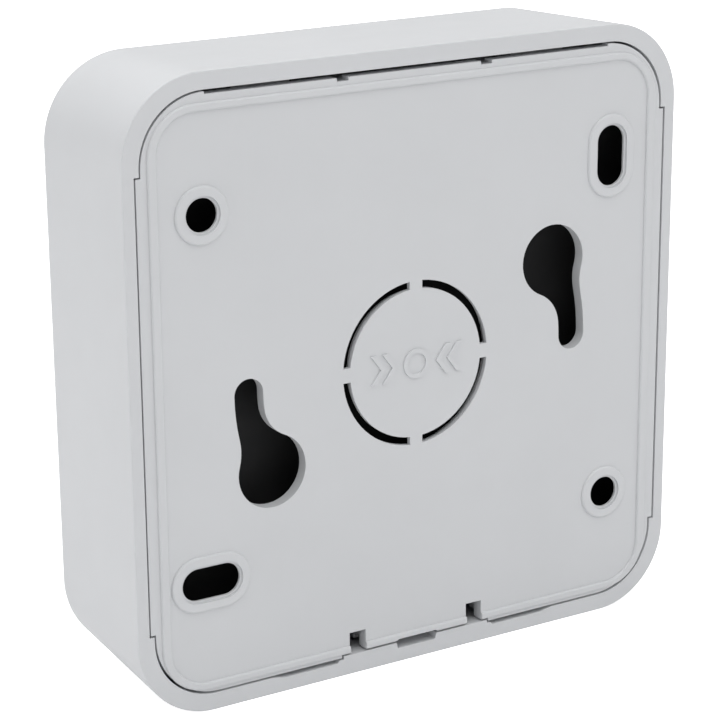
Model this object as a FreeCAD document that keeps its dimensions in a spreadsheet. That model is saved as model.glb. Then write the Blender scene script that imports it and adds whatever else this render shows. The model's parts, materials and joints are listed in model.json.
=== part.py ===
import FreeCAD, Part
import math
import os
import Sketcher

# Manual call point, surface mounted. Millimetres, +Z up.
# The origin is the centre of the face that lies on the wall. The front faces -Y,
# and a "depth" below is the distance in front of the wall, so depth = -Y.

DIMENSIONS = [
    # alias, value, what it is
    ("housing_side", 100.0, "width and height of the housing at the wall"),
    ("housing_depth", 30.0, "wall to front face"),
    ("housing_corner", 13.0, "outer corner radius at the wall"),
    ("housing_draft", 1.72, "mould draft of the cavity's walls, degrees"),
    ("front_half", 49.11, "half width of the front face, before its edge is rounded"),
    ("front_corner", 13.8, "outer corner radius at the front face"),
    ("front_rounding", 2.0, "radius round the front face"),
    ("rim_gap", 0.3, "housing rim to wall"),
    ("rim_rounding", 0.2, "radius of the rim's outer edge"),
    ("front_wall", 2.5, "thickness of the front face"),
    ("cavity_half", 47.22, "half width of the housing's cavity at the rim"),
    ("cavity_top", 47.25, "top of the cavity at the rim"),
    ("cavity_bottom", 47.18, "bottom of the cavity at the rim, below centre"),
    ("cavity_corner", 10.6, "corner radius of the cavity"),
    ("ear_half_height", 35.3, "half height of the wider middle of the base plate"),
    ("ear_half_width", 47.75, "half width of the base plate's wider middle"),
    ("ear_seat", 3.2, "depth of the housing's seats for those ears"),
    ("fit_gap", 0.3, "gap between base plate and housing"),
    ("corner_ease", 0.3, "extra radius on the base plate's corners"),
    ("plate_thickness", 2.0, "base plate panel"),
    ("relief", 0.4, "height of ridge and collars over the panel"),
    ("relief_rounding", 0.37, "radius of the edges of ridge and collars"),
    ("top_trim", 46.55, "height of the base plate's lowered top edge"),
    ("top_trim_half", 36.3, "half length of the lowered top edge"),
    ("nick_near", 11.9, "inner end of the nicks in the top edge"),
    ("nick_far", 14.0, "outer end of the nicks in the top edge"),
    ("nick_depth", 0.55, "depth of those nicks"),
    ("ridge_half", 45.95, "half width of the ridge"),
    ("ridge_top", 45.4, "top of the ridge"),
    ("ridge_bottom", 46.3, "bottom of the ridge, below centre"),
    ("ridge_corner", 7.8, "outer corner radius of the ridge"),
    ("ridge_side_width", 1.6, "width of the ridge at the sides"),
    ("ridge_end_width", 1.25, "width of the ridge at top and bottom"),
    ("skirt_width", 1.4, "thickness of the base plate's inner skirt"),
    ("skirt_half", 46.0, "half width of the skirt"),
    ("skirt_depth", 5.5, "front edge of the skirt"),
    ("fix_x", 37.25, "fixing holes, half spacing across"),
    ("fix_z", 28.75, "fixing holes, half spacing up"),
    ("fix_hole", 5.2, "fixing hole diameter and slot width"),
    ("fix_slot", 9.9, "fixing slot length"),
    ("collar_width", 1.9, "collar, from the edge of a fixing hole"),
    ("collar_step", 0.4, "width of the recess in a collar, from the edge of the hole"),
    ("collar_step_depth", 0.35, "depth of that recess"),
    ("hole_wall", 0.4, "thickness of the wall that is left at a fixing hole"),
    ("head_seat", 1.6, "seat for a screw head, from the edge of the hole"),
    ("keyhole_radius", 30.0, "radius of the circle that the keyholes lie on"),
    ("keyhole_slot", 5.0, "width of a keyhole's narrow end"),
    ("keyhole_head", 11.8, "diameter of a keyhole's wide end"),
    ("keyhole_head_x", 26.17, "centre of the wide end, across"),
    ("keyhole_head_z", 12.9, "centre of the wide end, down"),
    ("keyhole_outer_blend", 9.0, "blend radius on the outer flank"),
    ("keyhole_inner_blend", 6.0, "blend radius on the inner flank"),
    ("knockout", 26.8, "outer diameter of the cable knock-out's slot"),
    ("knockout_slot", 1.3, "width of that slot"),
    ("knockout_bridge", 2.3, "width of a bridge across it"),
    ("knockout_wall", 0.8, "thickness of the panel along that slot"),
    ("knockout_groove", 0.5, "how far the thin strip reaches past the slot on each side"),
    ("symbol_half_height", 2.4, "half height of the raised press symbol"),
    ("symbol_stroke", 0.7, "stroke width of the press symbol"),
    ("symbol_relief", 0.25, "height of the press symbol"),
    ("chevron_first", 3.6, "tip of the inner chevron, from the centre"),
    ("chevron_second", 5.7, "tip of the outer chevron, from the centre"),
    ("chevron_lean", 1.8, "how far a chevron's ends lie behind its tip"),
    ("chevron_width", 0.91, "width of a chevron's stroke along its axis"),
    ("tongue_half", 9.65, "half width of the snap tongue"),
    ("tongue_notch", 3.0, "width of the notch on each side of the tongue"),
    ("tongue_root", 42.9, "depth of those notches, below centre"),
    ("tongue_edge", 46.3, "lower edge of the tongue, below centre"),
    ("tongue_arm", 1.3, "thickness of the tongue's arm"),
    ("tongue_arm_end", 8.4, "front end of the tongue's arm"),
    ("tongue_arm_inset", 0.6, "how much narrower the arm is on each side"),
    ("tongue_nose", 0.9, "how far the nose stands out of the arm"),
    ("nose_ramp", 1.2, "length of the slope in front of the nose"),
    ("nose_flat", 0.8, "length of the nose's tip"),
    ("nose_back", 0.1, "length of the slope behind the nose"),
    ("ledge_edge", 46.62, "housing ledge in front of the tongue, below centre"),
    ("ledge_half", 13.8, "half length of the ledge"),
    ("ledge_thickness", 4.5, "front to back length of the ledge"),
    ("ledge_root", 0.4, "how far the ledge reaches into the housing's wall"),
    ("pry_half", 3.6, "half width of the slot for a screwdriver"),
    ("pry_edge", 47.6, "lower edge of that slot, below centre"),
    ("pry_depth", 3.1, "depth of that slot"),
    ("pry_flare", 0.3, "how much wider that slot gets towards the middle, on each side"),
    ("pry_lift", 0.4, "how far the tongue's edge is cut back above that slot"),
    ("rim_pocket_near", 14.2, "inner end of the shallow pockets in the lower rim"),
    ("rim_pocket_far", 28.5, "outer end of those pockets"),
    ("rim_pocket_height", 0.72, "height of those pockets"),
    ("rim_pocket_depth", 2.1, "depth of those pockets"),
    ("rim_pocket_slope_near", 0.8, "length of the slope at the inner end"),
    ("rim_pocket_slope_far", 4.0, "length of the slope at the outer end"),
    ("hook_near", 19.5, "inner end of a top hook, across"),
    ("hook_length", 11.0, "length of a top hook"),
    ("hook_low", 43.2, "underside of a top hook's arm"),
    ("hook_arm", 1.4, "thickness of a top hook's arm"),
    ("hook_reach", 46.4, "top of a top hook's nose"),
    ("hook_rear", 6.4, "rear of the nose"),
    ("hook_front", 7.6, "front of the nose"),
    ("hook_bevel", 0.6, "bevel of the hook's front edges"),
    ("hook_spare", 0.5, "room beside a hook, and how much shorter its rib is"),
    ("rib_near", 4.0, "rear face of the housing ribs that the hooks hold"),
    ("rib_thickness", 1.4, "thickness of those ribs"),
    ("rib_low", 45.4, "lower edge of those ribs"),
    ("rib_root", 0.3, "how far a rib reaches into the housing's wall"),
    ("chassis_rear", 8.5, "rear face of the chassis"),
    ("chassis_half", 46.0, "half width of the chassis"),
    ("chassis_top", 45.5, "top of the chassis"),
    ("chassis_bottom", 42.5, "bottom of the chassis, below centre"),
    ("chassis_corner", 9.5, "corner radius of the chassis"),
    ("chassis_wall", 1.5, "wall thickness of the chassis"),
    ("chassis_front", 20.0, "front edge of the chassis walls"),
    ("boss_x", 33.0, "chassis screws, half spacing across"),
    ("boss_top", 37.2, "upper chassis screws"),
    ("boss_low", 37.8, "lower chassis screws, below centre"),
    ("boss_radius", 3.0, "screw boss in the housing"),
    ("boss_bore_depth", 12.0, "depth of the screw's bore"),
    ("screw_hole", 1.7, "hole for a chassis screw, radius"),
    ("screw_radius", 1.25, "chassis screw shank"),
    ("thread_gap", 0.02, "radial clearance of a screw in its bore"),
    ("chassis_screw_head", 2.75, "chassis screw, head radius"),
    ("chassis_screw_height", 1.9, "chassis screw, head height"),
    ("chassis_screw_length", 11.0, "chassis screw, length under the head"),
    ("chassis_screw_cross", 3.4, "chassis screw, span of the cross"),
    ("board_screw_head", 1.95, "board screw, head radius"),
    ("board_screw_height", 1.4, "board screw, head height"),
    ("board_screw_radius", 1.0, "board screw shank"),
    ("board_screw_length", 4.2, "board screw, length under the head"),
    ("board_screw_cross", 2.4, "board screw, span of the cross"),
    ("cross_width", 0.6, "width of a cross slot"),
    ("cross_depth", 0.8, "depth of a cross slot"),
    ("board_rear", 13.5, "rear face of the circuit board"),
    ("board_thickness", 1.6, "circuit board"),
    ("board_half", 29.4, "half width of the circuit board"),
    ("board_top", 20.0, "top edge of the circuit board"),
    ("board_bottom", 38.0, "bottom edge of the circuit board, below centre"),
    ("board_screw_x", 26.5, "board screws, half spacing across"),
    ("board_screw_top", 17.3, "upper board screws"),
    ("board_screw_low", 24.0, "lower board screws, below centre"),
    ("board_corner", 2.0, "corner radius of the circuit board"),
    ("board_play", 0.5, "gap between the board and what passes through it"),
    ("board_screw_play", 0.2, "gap between a board screw and its hole in the board"),
    ("standoff_radius", 3.0, "standoff under the board"),
    ("standoff_floor", 0.5, "material left under a standoff's bore"),
    ("window_half", 29.0, "half width of the front window"),
    ("window_top", 27.0, "top of the front window"),
    ("window_bottom", 23.0, "bottom of the front window, below centre"),
    ("window_gap", 0.5, "gap round the press plate"),
    ("window_corner", 3.0, "corner radius of the front window"),
    ("dish_margin", 3.0, "dish round the window, past its edge"),
    ("dish_corner", 5.0, "corner radius of the dish"),
    ("dish_depth", 1.0, "depth of the dish"),
    ("press_front", 29.2, "front face of the press plate"),
    ("press_flange_front", 27.2, "front of the press plate's flange"),
    ("press_rear", 26.0, "rear face of the press plate"),
    ("press_lip", 1.5, "flange of the press plate, past the window"),
    ("press_lip_low", 2.0, "the same below the window"),
    ("press_lip_corner", 4.0, "corner radius of the flange"),
    ("press_corner", 2.6, "corner radius of the press plate's face"),
    ("press_rounding", 0.6, "radius round the press plate's face"),
    ("ear_near", 18.5, "inner end of a pivot ear, across"),
    ("ear_width", 3.0, "width of a pivot ear"),
    ("ear_front", 3.1, "pivot ear, in front of the pivot"),
    ("ear_rear", 1.9, "pivot ear, behind the pivot"),
    ("ear_low", 2.2, "pivot ear, below the pivot"),
    ("ear_high", 1.5, "pivot ear, above the pivot"),
    ("ear_corner", 1.4, "corner radius of a pivot ear"),
    ("ramp_width", 5.0, "width of the ramp that pushes the flag down"),
    ("ramp_foot", 23.0, "lower end of the ramp, below centre"),
    ("ramp_low", 10.0, "lower edge of the ramp's nose, below centre"),
    ("ramp_high", 8.6, "upper edge of the ramp, below centre"),
    ("ramp_shoulder", 18.0, "where the ramp's slope ends"),
    ("ramp_tip", 17.2, "rear end of the ramp's nose"),
    ("switch_rib_near", 15.6, "inner side of the rib that presses the lever, left of centre"),
    ("switch_rib_far", 17.0, "outer side of that rib"),
    ("switch_rib_half", 2.0, "half height of that rib"),
    ("switch_rib_rear", 23.35, "rear end of that rib"),
    ("mark_height", 2.0, "middle of the press mark above the centre"),
    ("mark_disc", 6.5, "radius of the disc in the press mark"),
    ("mark_tip", 9.0, "tip of a triangle, from the middle"),
    ("mark_base", 16.5, "base of a triangle, from the middle"),
    ("mark_half", 5.0, "half height of a triangle"),
    ("mark_recess", 0.3, "how deep the mark lies in the plate"),
    ("mark_thickness", 0.35, "thickness of the mark"),
    ("mark_gap", 0.04, "gap round the mark"),
    ("pivot_depth", 23.0, "press plate pivot"),
    ("pivot_height", 27.0, "press plate pivot"),
    ("pin_radius", 1.0, "pivot pin"),
    ("pin_length", 52.0, "length of the pivot pin"),
    ("post_near", 22.5, "inner side of a pivot post"),
    ("post_far", 25.5, "outer side of a pivot post"),
    ("post_half", 3.5, "half height of a pivot post"),
    ("post_reach", 2.0, "pivot post, in front of the pivot"),
    ("running_gap", 0.06, "radial clearance of a running fit"),
    ("flag_half", 14.5, "half width of the status flag"),
    ("flag_window_half", 15.0, "half width of the flag window"),
    ("flag_window_top", 32.0, "top of the flag window, below centre"),
    ("flag_window_bottom", 37.0, "bottom of the flag window, below centre"),
    ("flag_window_corner", 1.0, "corner radius of the flag window"),
    ("lens_rear", 26.6, "rear of the lens's flange"),
    ("lens_lip", 1.0, "flange of the lens, past the window"),
    ("lens_corner", 1.2, "corner radius of that flange"),
    ("lens_gap", 0.1, "gap round the pane"),
    ("lens_sink", 0.4, "how far the pane lies behind the front face"),
    ("stem_half", 7.9, "half width of the flag's stem"),
    ("stem_rear", 17.2, "rear face of the stem"),
    ("stem_thickness", 1.4, "stem"),
    ("stem_top", 1.0, "top of the stem"),
    ("flag_foot", 31.0, "lower edge of the flag, below centre"),
    ("flag_bridge_half", 5.0, "half width of the bridge from stem to banner"),
    ("flag_bridge_height", 1.4, "height of that bridge"),
    ("banner_rear", 25.2, "rear face of the yellow banner"),
    ("banner_thickness", 1.0, "thickness of the banner"),
    ("banner_top", 25.8, "top of the banner, below centre"),
    ("stem_slot_half", 3.5, "half width of the stem's slot for the ramp"),
    ("stem_slot_high", 1.6, "top of that slot, below centre"),
    ("stem_slot_low", 11.7, "bottom of that slot, below centre"),
    ("stem_gap", 0.2, "gap in front of and behind the stem"),
    ("stem_side_gap", 0.3, "gap beside the stem"),
    ("guide_near", 6.9, "inner side of a guide rail"),
    ("guide_far", 10.5, "outer side of a guide rail"),
    ("guide_low", 27.0, "lower end of a guide rail, below centre"),
    ("guide_high", 12.0, "upper end of a guide rail, below centre"),
    ("guide_lip", 1.2, "material of a rail in front of the stem"),
    ("groove_spare", 0.5, "how far the stem's groove reaches past the guide rails"),
    ("ramp_slot_half", 3.4, "half width of the board's slot for the ramp"),
    ("ramp_slot_low", 12.5, "bottom of that slot, below centre"),
    ("ramp_slot_high", 6.5, "top of that slot, below centre"),
    ("led_x", 26.0, "indicator, across"),
    ("led_z", 34.5, "indicator, below centre"),
    ("led_radius", 1.5, "radius of the indicator's dome"),
    ("led_height", 3.6, "indicator, board to the middle of the dome"),
    ("led_flange", 1.9, "radius of the indicator's flange"),
    ("led_flange_height", 1.0, "height of that flange"),
    ("pipe_radius", 1.5, "light pipe"),
    ("pipe_play", 0.1, "gap round the light pipe"),
    ("pipe_led_gap", 0.4, "gap between indicator and light pipe"),
    ("pipe_sink", 0.2, "how far the light pipe lies behind the front face"),
    ("pipe_flange", 2.4, "radius of the light pipe's flange"),
    ("pipe_flange_length", 1.2, "length of that flange"),
    ("cam_depth", 20.0, "axis of the reset cam"),
    ("cam_radius", 4.0, "reset cam shaft"),
    ("cam_collar", 5.2, "reset cam collar radius"),
    ("cam_low", 49.2, "lower end of the reset cam, below centre"),
    ("cam_high", 38.8, "upper end of its shaft, below centre"),
    ("cam_collar_low", 46.3, "lower side of its collar, below centre"),
    ("cam_collar_high", 42.8, "upper side of its collar, below centre"),
    ("cam_lobe_top", 38.2, "top of its lobe, below centre"),
    ("cam_lobe_near", 0.4, "inner side of the lobe, across"),
    ("cam_lobe_far", 3.2, "outer side of the lobe, across"),
    ("cam_lobe_half", 1.6, "half thickness of the lobe"),
    ("key_stem", 1.5, "hole for the key's round stem, radius"),
    ("key_blade_half", 2.7, "hole for the key's blade, half width"),
    ("key_blade_thick", 0.6, "hole for the key's blade, half thickness"),
    ("key_end", 43.0, "inner end of the key's hole, below centre"),
    ("cam_notch_half", 4.6, "half width of the chassis notch for the cam"),
    ("cam_notch_rear", 15.0, "rear end of that notch"),
    ("cam_notch_spare", 0.5, "how far that notch reaches past the chassis wall"),
    ("spring_x", 20.0, "press spring, across"),
    ("spring_z", 8.0, "press spring, below centre"),
    ("spring_radius", 2.9, "press spring, middle of the wire"),
    ("spring_wire", 0.3, "press spring wire radius"),
    ("spring_seat", 16.0, "seat of the press spring"),
    ("spring_turns", 5, "turns of the press spring"),
    ("spring_end_gap", 0.05, "gap at each end of the spring"),
    ("spring_boss", 4.0, "radius of the boss under the spring"),
    ("spring_peg", 2.2, "radius of the pegs inside the spring"),
    ("spring_peg_height", 2.0, "height of the chassis peg"),
    ("spring_peg_rear", 23.5, "rear end of the press plate's peg"),
    ("lever_pivot_x", 29.5, "switch lever pivot, left of centre"),
    ("lever_pivot_depth", 22.9, "switch lever pivot"),
    ("switch_z", 12.0, "middle of the switch"),
    ("switch_half", 2.9, "half height of the switch"),
    ("switch_left", 30.4, "outer end of the switch, left of centre"),
    ("switch_right", 17.6, "inner end of the switch, left of centre"),
    ("switch_front", 21.1, "front of the switch's case"),
    ("switch_ear_end", 28.6, "inner end of the ears that hold the lever"),
    ("switch_ear_wall", 0.9, "thickness of those ears"),
    ("switch_ear_front", 24.0, "front of those ears"),
    ("lever_pin", 0.4, "radius of the lever's pin"),
    ("lever_eye", 0.95, "radius of the lever's eye"),
    ("lever_eye_half", 1.85, "half length of that eye"),
    ("lever_bore", 0.45, "radius of the bore in that eye"),
    ("lever_half", 1.6, "half width of the lever's blade"),
    ("lever_thickness", 0.3, "thickness of the blade"),
    ("lever_end", 15.3, "free end of the blade, left of centre"),
    ("plunger_x", 25.0, "plunger, left of centre"),
    ("plunger_half", 0.9, "half width of the plunger"),
    ("plunger_half_height", 0.7, "half height of the plunger"),
    ("plunger_rear", 19.6, "rear end of the plunger"),
    ("plunger_front", 22.6, "front end of the plunger"),
    ("plunger_gap", 0.1, "gap round the plunger"),
    ("plunger_room", 0.7, "free travel behind the plunger"),
    ("terminal_pitch", 5.08, "spacing of the terminals"),
    ("terminal_rear", 5.0, "rear face of the terminal block"),
    ("terminal_low", 37.0, "lower side of the terminal block, below centre"),
    ("terminal_high", 29.0, "upper side of the terminal block, below centre"),
    ("terminal_screw_z", 33.0, "terminal screws, below centre"),
    ("terminal_well", 1.75, "radius of a screw well"),
    ("terminal_well_depth", 4.2, "depth of a screw well"),
    ("entry_half", 1.5, "half width of a wire entry"),
    ("entry_rear", 9.1, "rear side of a wire entry"),
    ("entry_front", 12.1, "front side of a wire entry"),
    ("entry_top", 31.2, "inner end of a wire entry, below centre"),
    ("clamp_half", 1.4, "half width of a clamp"),
    ("clamp_wall", 0.4, "sheet thickness of a clamp"),
    ("clamp_rear", 9.3, "rear side of a clamp"),
    ("clamp_front", 12.0, "front side of a clamp"),
    ("clamp_low", 36.2, "lower end of a clamp, below centre"),
    ("clamp_length", 4.6, "length of a clamp"),
    ("terminal_screw_head", 1.6, "terminal screw, head radius"),
    ("terminal_screw_shank", 0.9, "terminal screw, shank radius"),
    ("terminal_screw_rear", 5.7, "terminal screw, top of the head"),
    ("terminal_screw_seat", 7.4, "terminal screw, underside of the head"),
    ("terminal_screw_tip", 9.05, "terminal screw, tip"),
    ("terminal_screw_cross", 2.2, "terminal screw, span of the cross"),
    ("terminal_window_half", 13.0, "half width of the chassis window for the terminals"),
    ("terminal_window_low", 39.0, "bottom of that window, below centre"),
    ("terminal_window_high", 27.8, "top of that window, below centre"),
    ("resistor_left", 29.0, "outer leg of a resistor, left of centre"),
    ("resistor_right", 19.0, "inner leg of a resistor, left of centre"),
    ("resistor_length", 6.4, "length of a resistor's body"),
    ("resistor_radius", 1.15, "radius of a resistor's body"),
    ("resistor_lead", 0.3, "radius of a resistor's leads"),
    ("resistor_lift", 1.25, "axis of a resistor over the board"),
    ("resistor_first", 6.0, "height of the upper resistor"),
    ("resistor_second", 1.0, "height of the lower resistor"),
    ("capacitor_x", 22.0, "capacitor, left of centre"),
    ("capacitor_z", 32.0, "capacitor, below centre"),
    ("capacitor_radius", 2.5, "radius of the capacitor"),
    ("capacitor_height", 5.4, "height of the capacitor"),
    ("capacitor_rounding", 0.5, "radius of its top edge"),
]

doc = FreeCAD.newDocument("manual_call_point")
sheet = doc.addObject("Spreadsheet::Sheet", "dims")


class Size:
    """A length that carries its number and the spreadsheet expression behind it."""

    def __init__(self, number, text):
        self.number = float(number)
        self.text = text

    def combined(self, sign, other, number):
        return Size(number, "(" + self.text + " " + sign + " " + other.text + ")")

    def __add__(self, other):
        other = as_size(other)
        return self.combined("+", other, self.number + other.number)

    def __sub__(self, other):
        other = as_size(other)
        return self.combined("-", other, self.number - other.number)

    def __mul__(self, other):
        other = as_size(other)
        return self.combined("*", other, self.number * other.number)

    def __truediv__(self, other):
        other = as_size(other)
        return self.combined("/", other, self.number / other.number)

    def __radd__(self, other):
        return as_size(other) + self

    def __rsub__(self, other):
        return as_size(other) - self

    def __neg__(self):
        return Size(-self.number, "(-1 * " + self.text + ")")


def as_size(value):
    if isinstance(value, Size):
        return value
    return Size(value, "(" + repr(float(value)) + ")")


class Dimensions:
    """The spreadsheet's cells by alias, such as d.housing_side."""


d = Dimensions()
for row, (alias, number, meaning) in enumerate(DIMENSIONS, start=1):
    sheet.set("A%d" % row, meaning)
    sheet.set("B%d" % row, str(number))
    sheet.setAlias("B%d" % row, alias)
    setattr(d, alias, Size(number, "dims." + alias))
doc.recompute()

HALF_SIDE = d.housing_side / 2
CAVITY_FRONT = d.housing_depth - d.front_wall
PANEL_FRONT = d.relief + d.plate_thickness
CHASSIS_FLOOR = d.chassis_rear + d.chassis_wall
BOARD_FRONT = d.board_rear + d.board_thickness
JOIN = 0.1          # a pad starts this far inside what it grows from
CLEAR = 1.0         # a cut starts this far outside what it cuts
THROUGH = 60.0      # longer than any wall that a cut goes through
SAME_PLACE = 1e-4   # coordinates closer than this are equal


# ---- sketch helpers ---------------------------------------------------------------

def new_body(label):
    body = doc.addObject("PartDesign::Body", label)
    body.Label = label
    return body


def origin_feature(body, role):
    for feature in body.Origin.OriginFeatures:
        if feature.Role == role:
            return feature
    raise ValueError(role)


def sketch_at(body, name, offset=0.0, plane="XZ_Plane"):
    """A sketch on one of the body's own planes. On XZ_Plane the offset is a depth."""
    offset = as_size(offset)
    sketch = body.newObject("Sketcher::SketchObject", body.Label + "_" + name)
    sketch.AttachmentSupport = [(origin_feature(body, plane), "")]
    sketch.MapMode = "FlatFace"
    sketch.AttachmentOffset = FreeCAD.Placement(FreeCAD.Vector(0, 0, offset.number), FreeCAD.Rotation())
    sketch.setExpression("AttachmentOffset.Base.z", offset.text)
    return sketch


def bind(sketch, kind, where, value):
    """Add a driving constraint and bind it to the spreadsheet."""
    value = as_size(value)
    index = sketch.addConstraint(Sketcher.Constraint(kind, *where, value.number))
    sketch.setExpression("Constraints[%d]" % index, value.text)


def bind_point(sketch, geometry, point, across, up):
    bind(sketch, "DistanceX", (-1, 1, geometry, point), across)
    bind(sketch, "DistanceY", (-1, 1, geometry, point), up)


def add_polygon(sketch, corners):
    """A closed outline of straight edges; corners are (across, up) sizes."""
    corners = [(as_size(a), as_size(b)) for a, b in corners]
    points = [FreeCAD.Vector(a.number, b.number, 0) for a, b in corners]
    count = len(points)
    lines = []
    for i in range(count):
        lines.append(sketch.addGeometry(Part.LineSegment(points[i], points[(i + 1) % count]), False))
    for i in range(count):
        after = lines[(i + 1) % count]
        sketch.addConstraint(Sketcher.Constraint("Coincident", lines[i], 2, after, 1))
    for line, (across, up) in zip(lines, corners):
        bind_point(sketch, line, 1, across, up)


def add_box(sketch, left, right, low, high):
    add_polygon(sketch, [(left, low), (right, low), (right, high), (left, high)])


def add_rounded(sketch, left, right, low, high, radius):
    """A rectangle with four equal round corners."""
    left, right, low, high, radius = [as_size(v) for v in (left, right, low, high, radius)]
    x0, x1, z0, z1, r = left.number, right.number, low.number, high.number, radius.number
    ends = [((x0 + r, z0), (x1 - r, z0)), ((x1, z0 + r), (x1, z1 - r)),
            ((x1 - r, z1), (x0 + r, z1)), ((x0, z1 - r), (x0, z0 + r))]
    centres = [(x1 - r, z0 + r), (x1 - r, z1 - r), (x0 + r, z1 - r), (x0 + r, z0 + r)]
    lines, arcs = [], []
    for i in range(4):
        start, end = [FreeCAD.Vector(x, z, 0) for x, z in ends[i]]
        lines.append(sketch.addGeometry(Part.LineSegment(start, end), False))
        circle = Part.Circle(FreeCAD.Vector(*centres[i], 0), FreeCAD.Vector(0, 0, 1), r)
        first = (i - 1) * math.pi / 2
        arcs.append(sketch.addGeometry(Part.ArcOfCircle(circle, first, first + math.pi / 2), False))
    for i in range(4):
        sketch.addConstraint(Sketcher.Constraint("Tangent", lines[i], 2, arcs[i], 1))
        sketch.addConstraint(Sketcher.Constraint("Tangent", arcs[i], 2, lines[(i + 1) % 4], 1))
        sketch.addConstraint(Sketcher.Constraint("Vertical" if i % 2 else "Horizontal", lines[i]))
    for i in range(3):
        sketch.addConstraint(Sketcher.Constraint("Equal", arcs[i], arcs[i + 1]))
    bind(sketch, "Radius", (arcs[0],), radius)
    bind(sketch, "DistanceY", (-1, 1, lines[0], 1), low)
    bind(sketch, "DistanceX", (-1, 1, lines[1], 1), right)
    bind(sketch, "DistanceY", (-1, 1, lines[2], 1), high)
    bind(sketch, "DistanceX", (-1, 1, lines[3], 1), left)


def add_circle(sketch, across, up, radius):
    across, up, radius = as_size(across), as_size(up), as_size(radius)
    centre = FreeCAD.Vector(across.number, up.number, 0)
    circle = sketch.addGeometry(Part.Circle(centre, FreeCAD.Vector(0, 0, 1), radius.number), False)
    bind_point(sketch, circle, 3, across, up)
    bind(sketch, "Radius", (circle,), radius)


def add_slot(sketch, across, up, length, width, upright):
    """A slot with round ends, centred on (across, up)."""
    across, up, length, width = [as_size(v) for v in (across, up, length, width)]
    reach = (length - width) / 2
    radius = width / 2
    turn = math.pi / 2 if upright else 0.0
    arcs, lines = [], []
    for side in (1, -1):
        shift = reach * side
        centre_x = across if upright else across + shift
        centre_z = up + shift if upright else up
        circle = Part.Circle(FreeCAD.Vector(centre_x.number, centre_z.number, 0),
                             FreeCAD.Vector(0, 0, 1), radius.number)
        first = turn - side * math.pi / 2
        arcs.append(sketch.addGeometry(Part.ArcOfCircle(circle, first, first + math.pi), False))
        bind_point(sketch, arcs[-1], 3, centre_x, centre_z)
    for near, far in ((0, 1), (1, 0)):
        start = sketch.Geometry[arcs[near]].EndPoint
        end = sketch.Geometry[arcs[far]].StartPoint
        lines.append(sketch.addGeometry(Part.LineSegment(start, end), False))
    for line, near, far in ((lines[0], 0, 1), (lines[1], 1, 0)):
        sketch.addConstraint(Sketcher.Constraint("Tangent", arcs[near], 2, line, 1))
        sketch.addConstraint(Sketcher.Constraint("Tangent", line, 2, arcs[far], 1))
    bind(sketch, "Radius", (arcs[0],), radius)


# ---- feature helpers --------------------------------------------------------------

def volume_of(body):
    doc.recompute()
    return 0.0 if body.Shape.isNull() else body.Shape.Volume


def pad(body, sketch, length, midplane=False):
    """Add material from the sketch, towards the front on XZ_Plane."""
    length = as_size(length)
    before = volume_of(body) if body.Tip else 0.0
    feature = body.newObject("PartDesign::Pad", sketch.Name + "_pad")
    feature.Profile = sketch
    feature.Length = length.number
    feature.setExpression("Length", length.text)
    feature.Midplane = midplane
    sketch.Visibility = False
    if volume_of(body) <= before:
        raise ValueError(sketch.Name + " adds nothing")
    return feature


def loft(body, near, far):
    """Add the solid between two outlines, with straight walls."""
    feature = body.newObject("PartDesign::AdditiveLoft", near.Name + "_loft")
    feature.Profile = near
    feature.Sections = [far]
    feature.Ruled = True
    near.Visibility = False
    far.Visibility = False
    return feature


def pocket(body, sketch, length, draft=None, midplane=False):
    """Cut from the sketch, towards the front on XZ_Plane."""
    length = as_size(length)
    before = volume_of(body)
    feature = body.newObject("PartDesign::Pocket", sketch.Name + "_cut")
    feature.Profile = sketch
    feature.Length = length.number
    feature.setExpression("Length", length.text)
    feature.Reversed = True
    feature.Midplane = midplane
    if draft is not None:
        feature.TaperAngle = -draft.number
        feature.setExpression("TaperAngle", "-1 * " + draft.text)
    sketch.Visibility = False
    if volume_of(body) >= before:
        raise ValueError(sketch.Name + " cuts nothing")
    return feature


def turned(body, feature, count):
    """Repeat a feature round the front-to-back axis."""
    pattern = body.newObject("PartDesign::PolarPattern", feature.Name + "_round")
    pattern.Originals = [feature]
    pattern.Axis = (origin_feature(body, "Y_Axis"), [""])
    pattern.Angle = 360
    pattern.Occurrences = count
    body.Tip = pattern


def mirrored(body, *features):
    """Repeat features on the other side of the middle plane, left to right."""
    mirror = body.newObject("PartDesign::Mirrored", features[0].Name + "_mirror")
    mirror.Originals = list(features)
    mirror.MirrorPlane = (origin_feature(body, "YZ_Plane"), [""])
    body.Tip = mirror


def rounded_edges(body, base, radius, depth):
    """Round the base feature's edges that lie at one depth."""
    doc.recompute()
    level = -as_size(depth).number
    names = ["Edge%d" % i for i, edge in enumerate(base.Shape.Edges, start=1)
             if all(abs(vertex.Point.y - level) < SAME_PLACE for vertex in edge.Vertexes)]
    fillet = body.newObject("PartDesign::Fillet", base.Name + "_round")
    fillet.Base = (base, names)
    fillet.Radius = radius.number
    fillet.setExpression("Radius", radius.text)
    return fillet


def padded_box(body, name, left, right, low, high, near, far):
    """A block between two depths."""
    near, far = as_size(near), as_size(far)
    sketch = sketch_at(body, name, near)
    add_box(sketch, left, right, low, high)
    return pad(body, sketch, far - near)


def cut_box(body, name, left, right, low, high, near, far):
    near, far = as_size(near), as_size(far)
    sketch = sketch_at(body, name, near)
    add_box(sketch, left, right, low, high)
    return pocket(body, sketch, far - near)


def padded_discs(body, name, centres, radius, near, far):
    near, far = as_size(near), as_size(far)
    sketch = sketch_at(body, name, near)
    for across, up in centres:
        add_circle(sketch, across, up, radius)
    return pad(body, sketch, far - near)


def cut_discs(body, name, centres, radius, near, far):
    near, far = as_size(near), as_size(far)
    sketch = sketch_at(body, name, near)
    for across, up in centres:
        add_circle(sketch, across, up, radius)
    return pocket(body, sketch, far - near)


def four_corners(across, up_high, up_low):
    return [(across * sx, up) for sx in (1, -1) for up in (up_high, up_low)]


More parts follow.
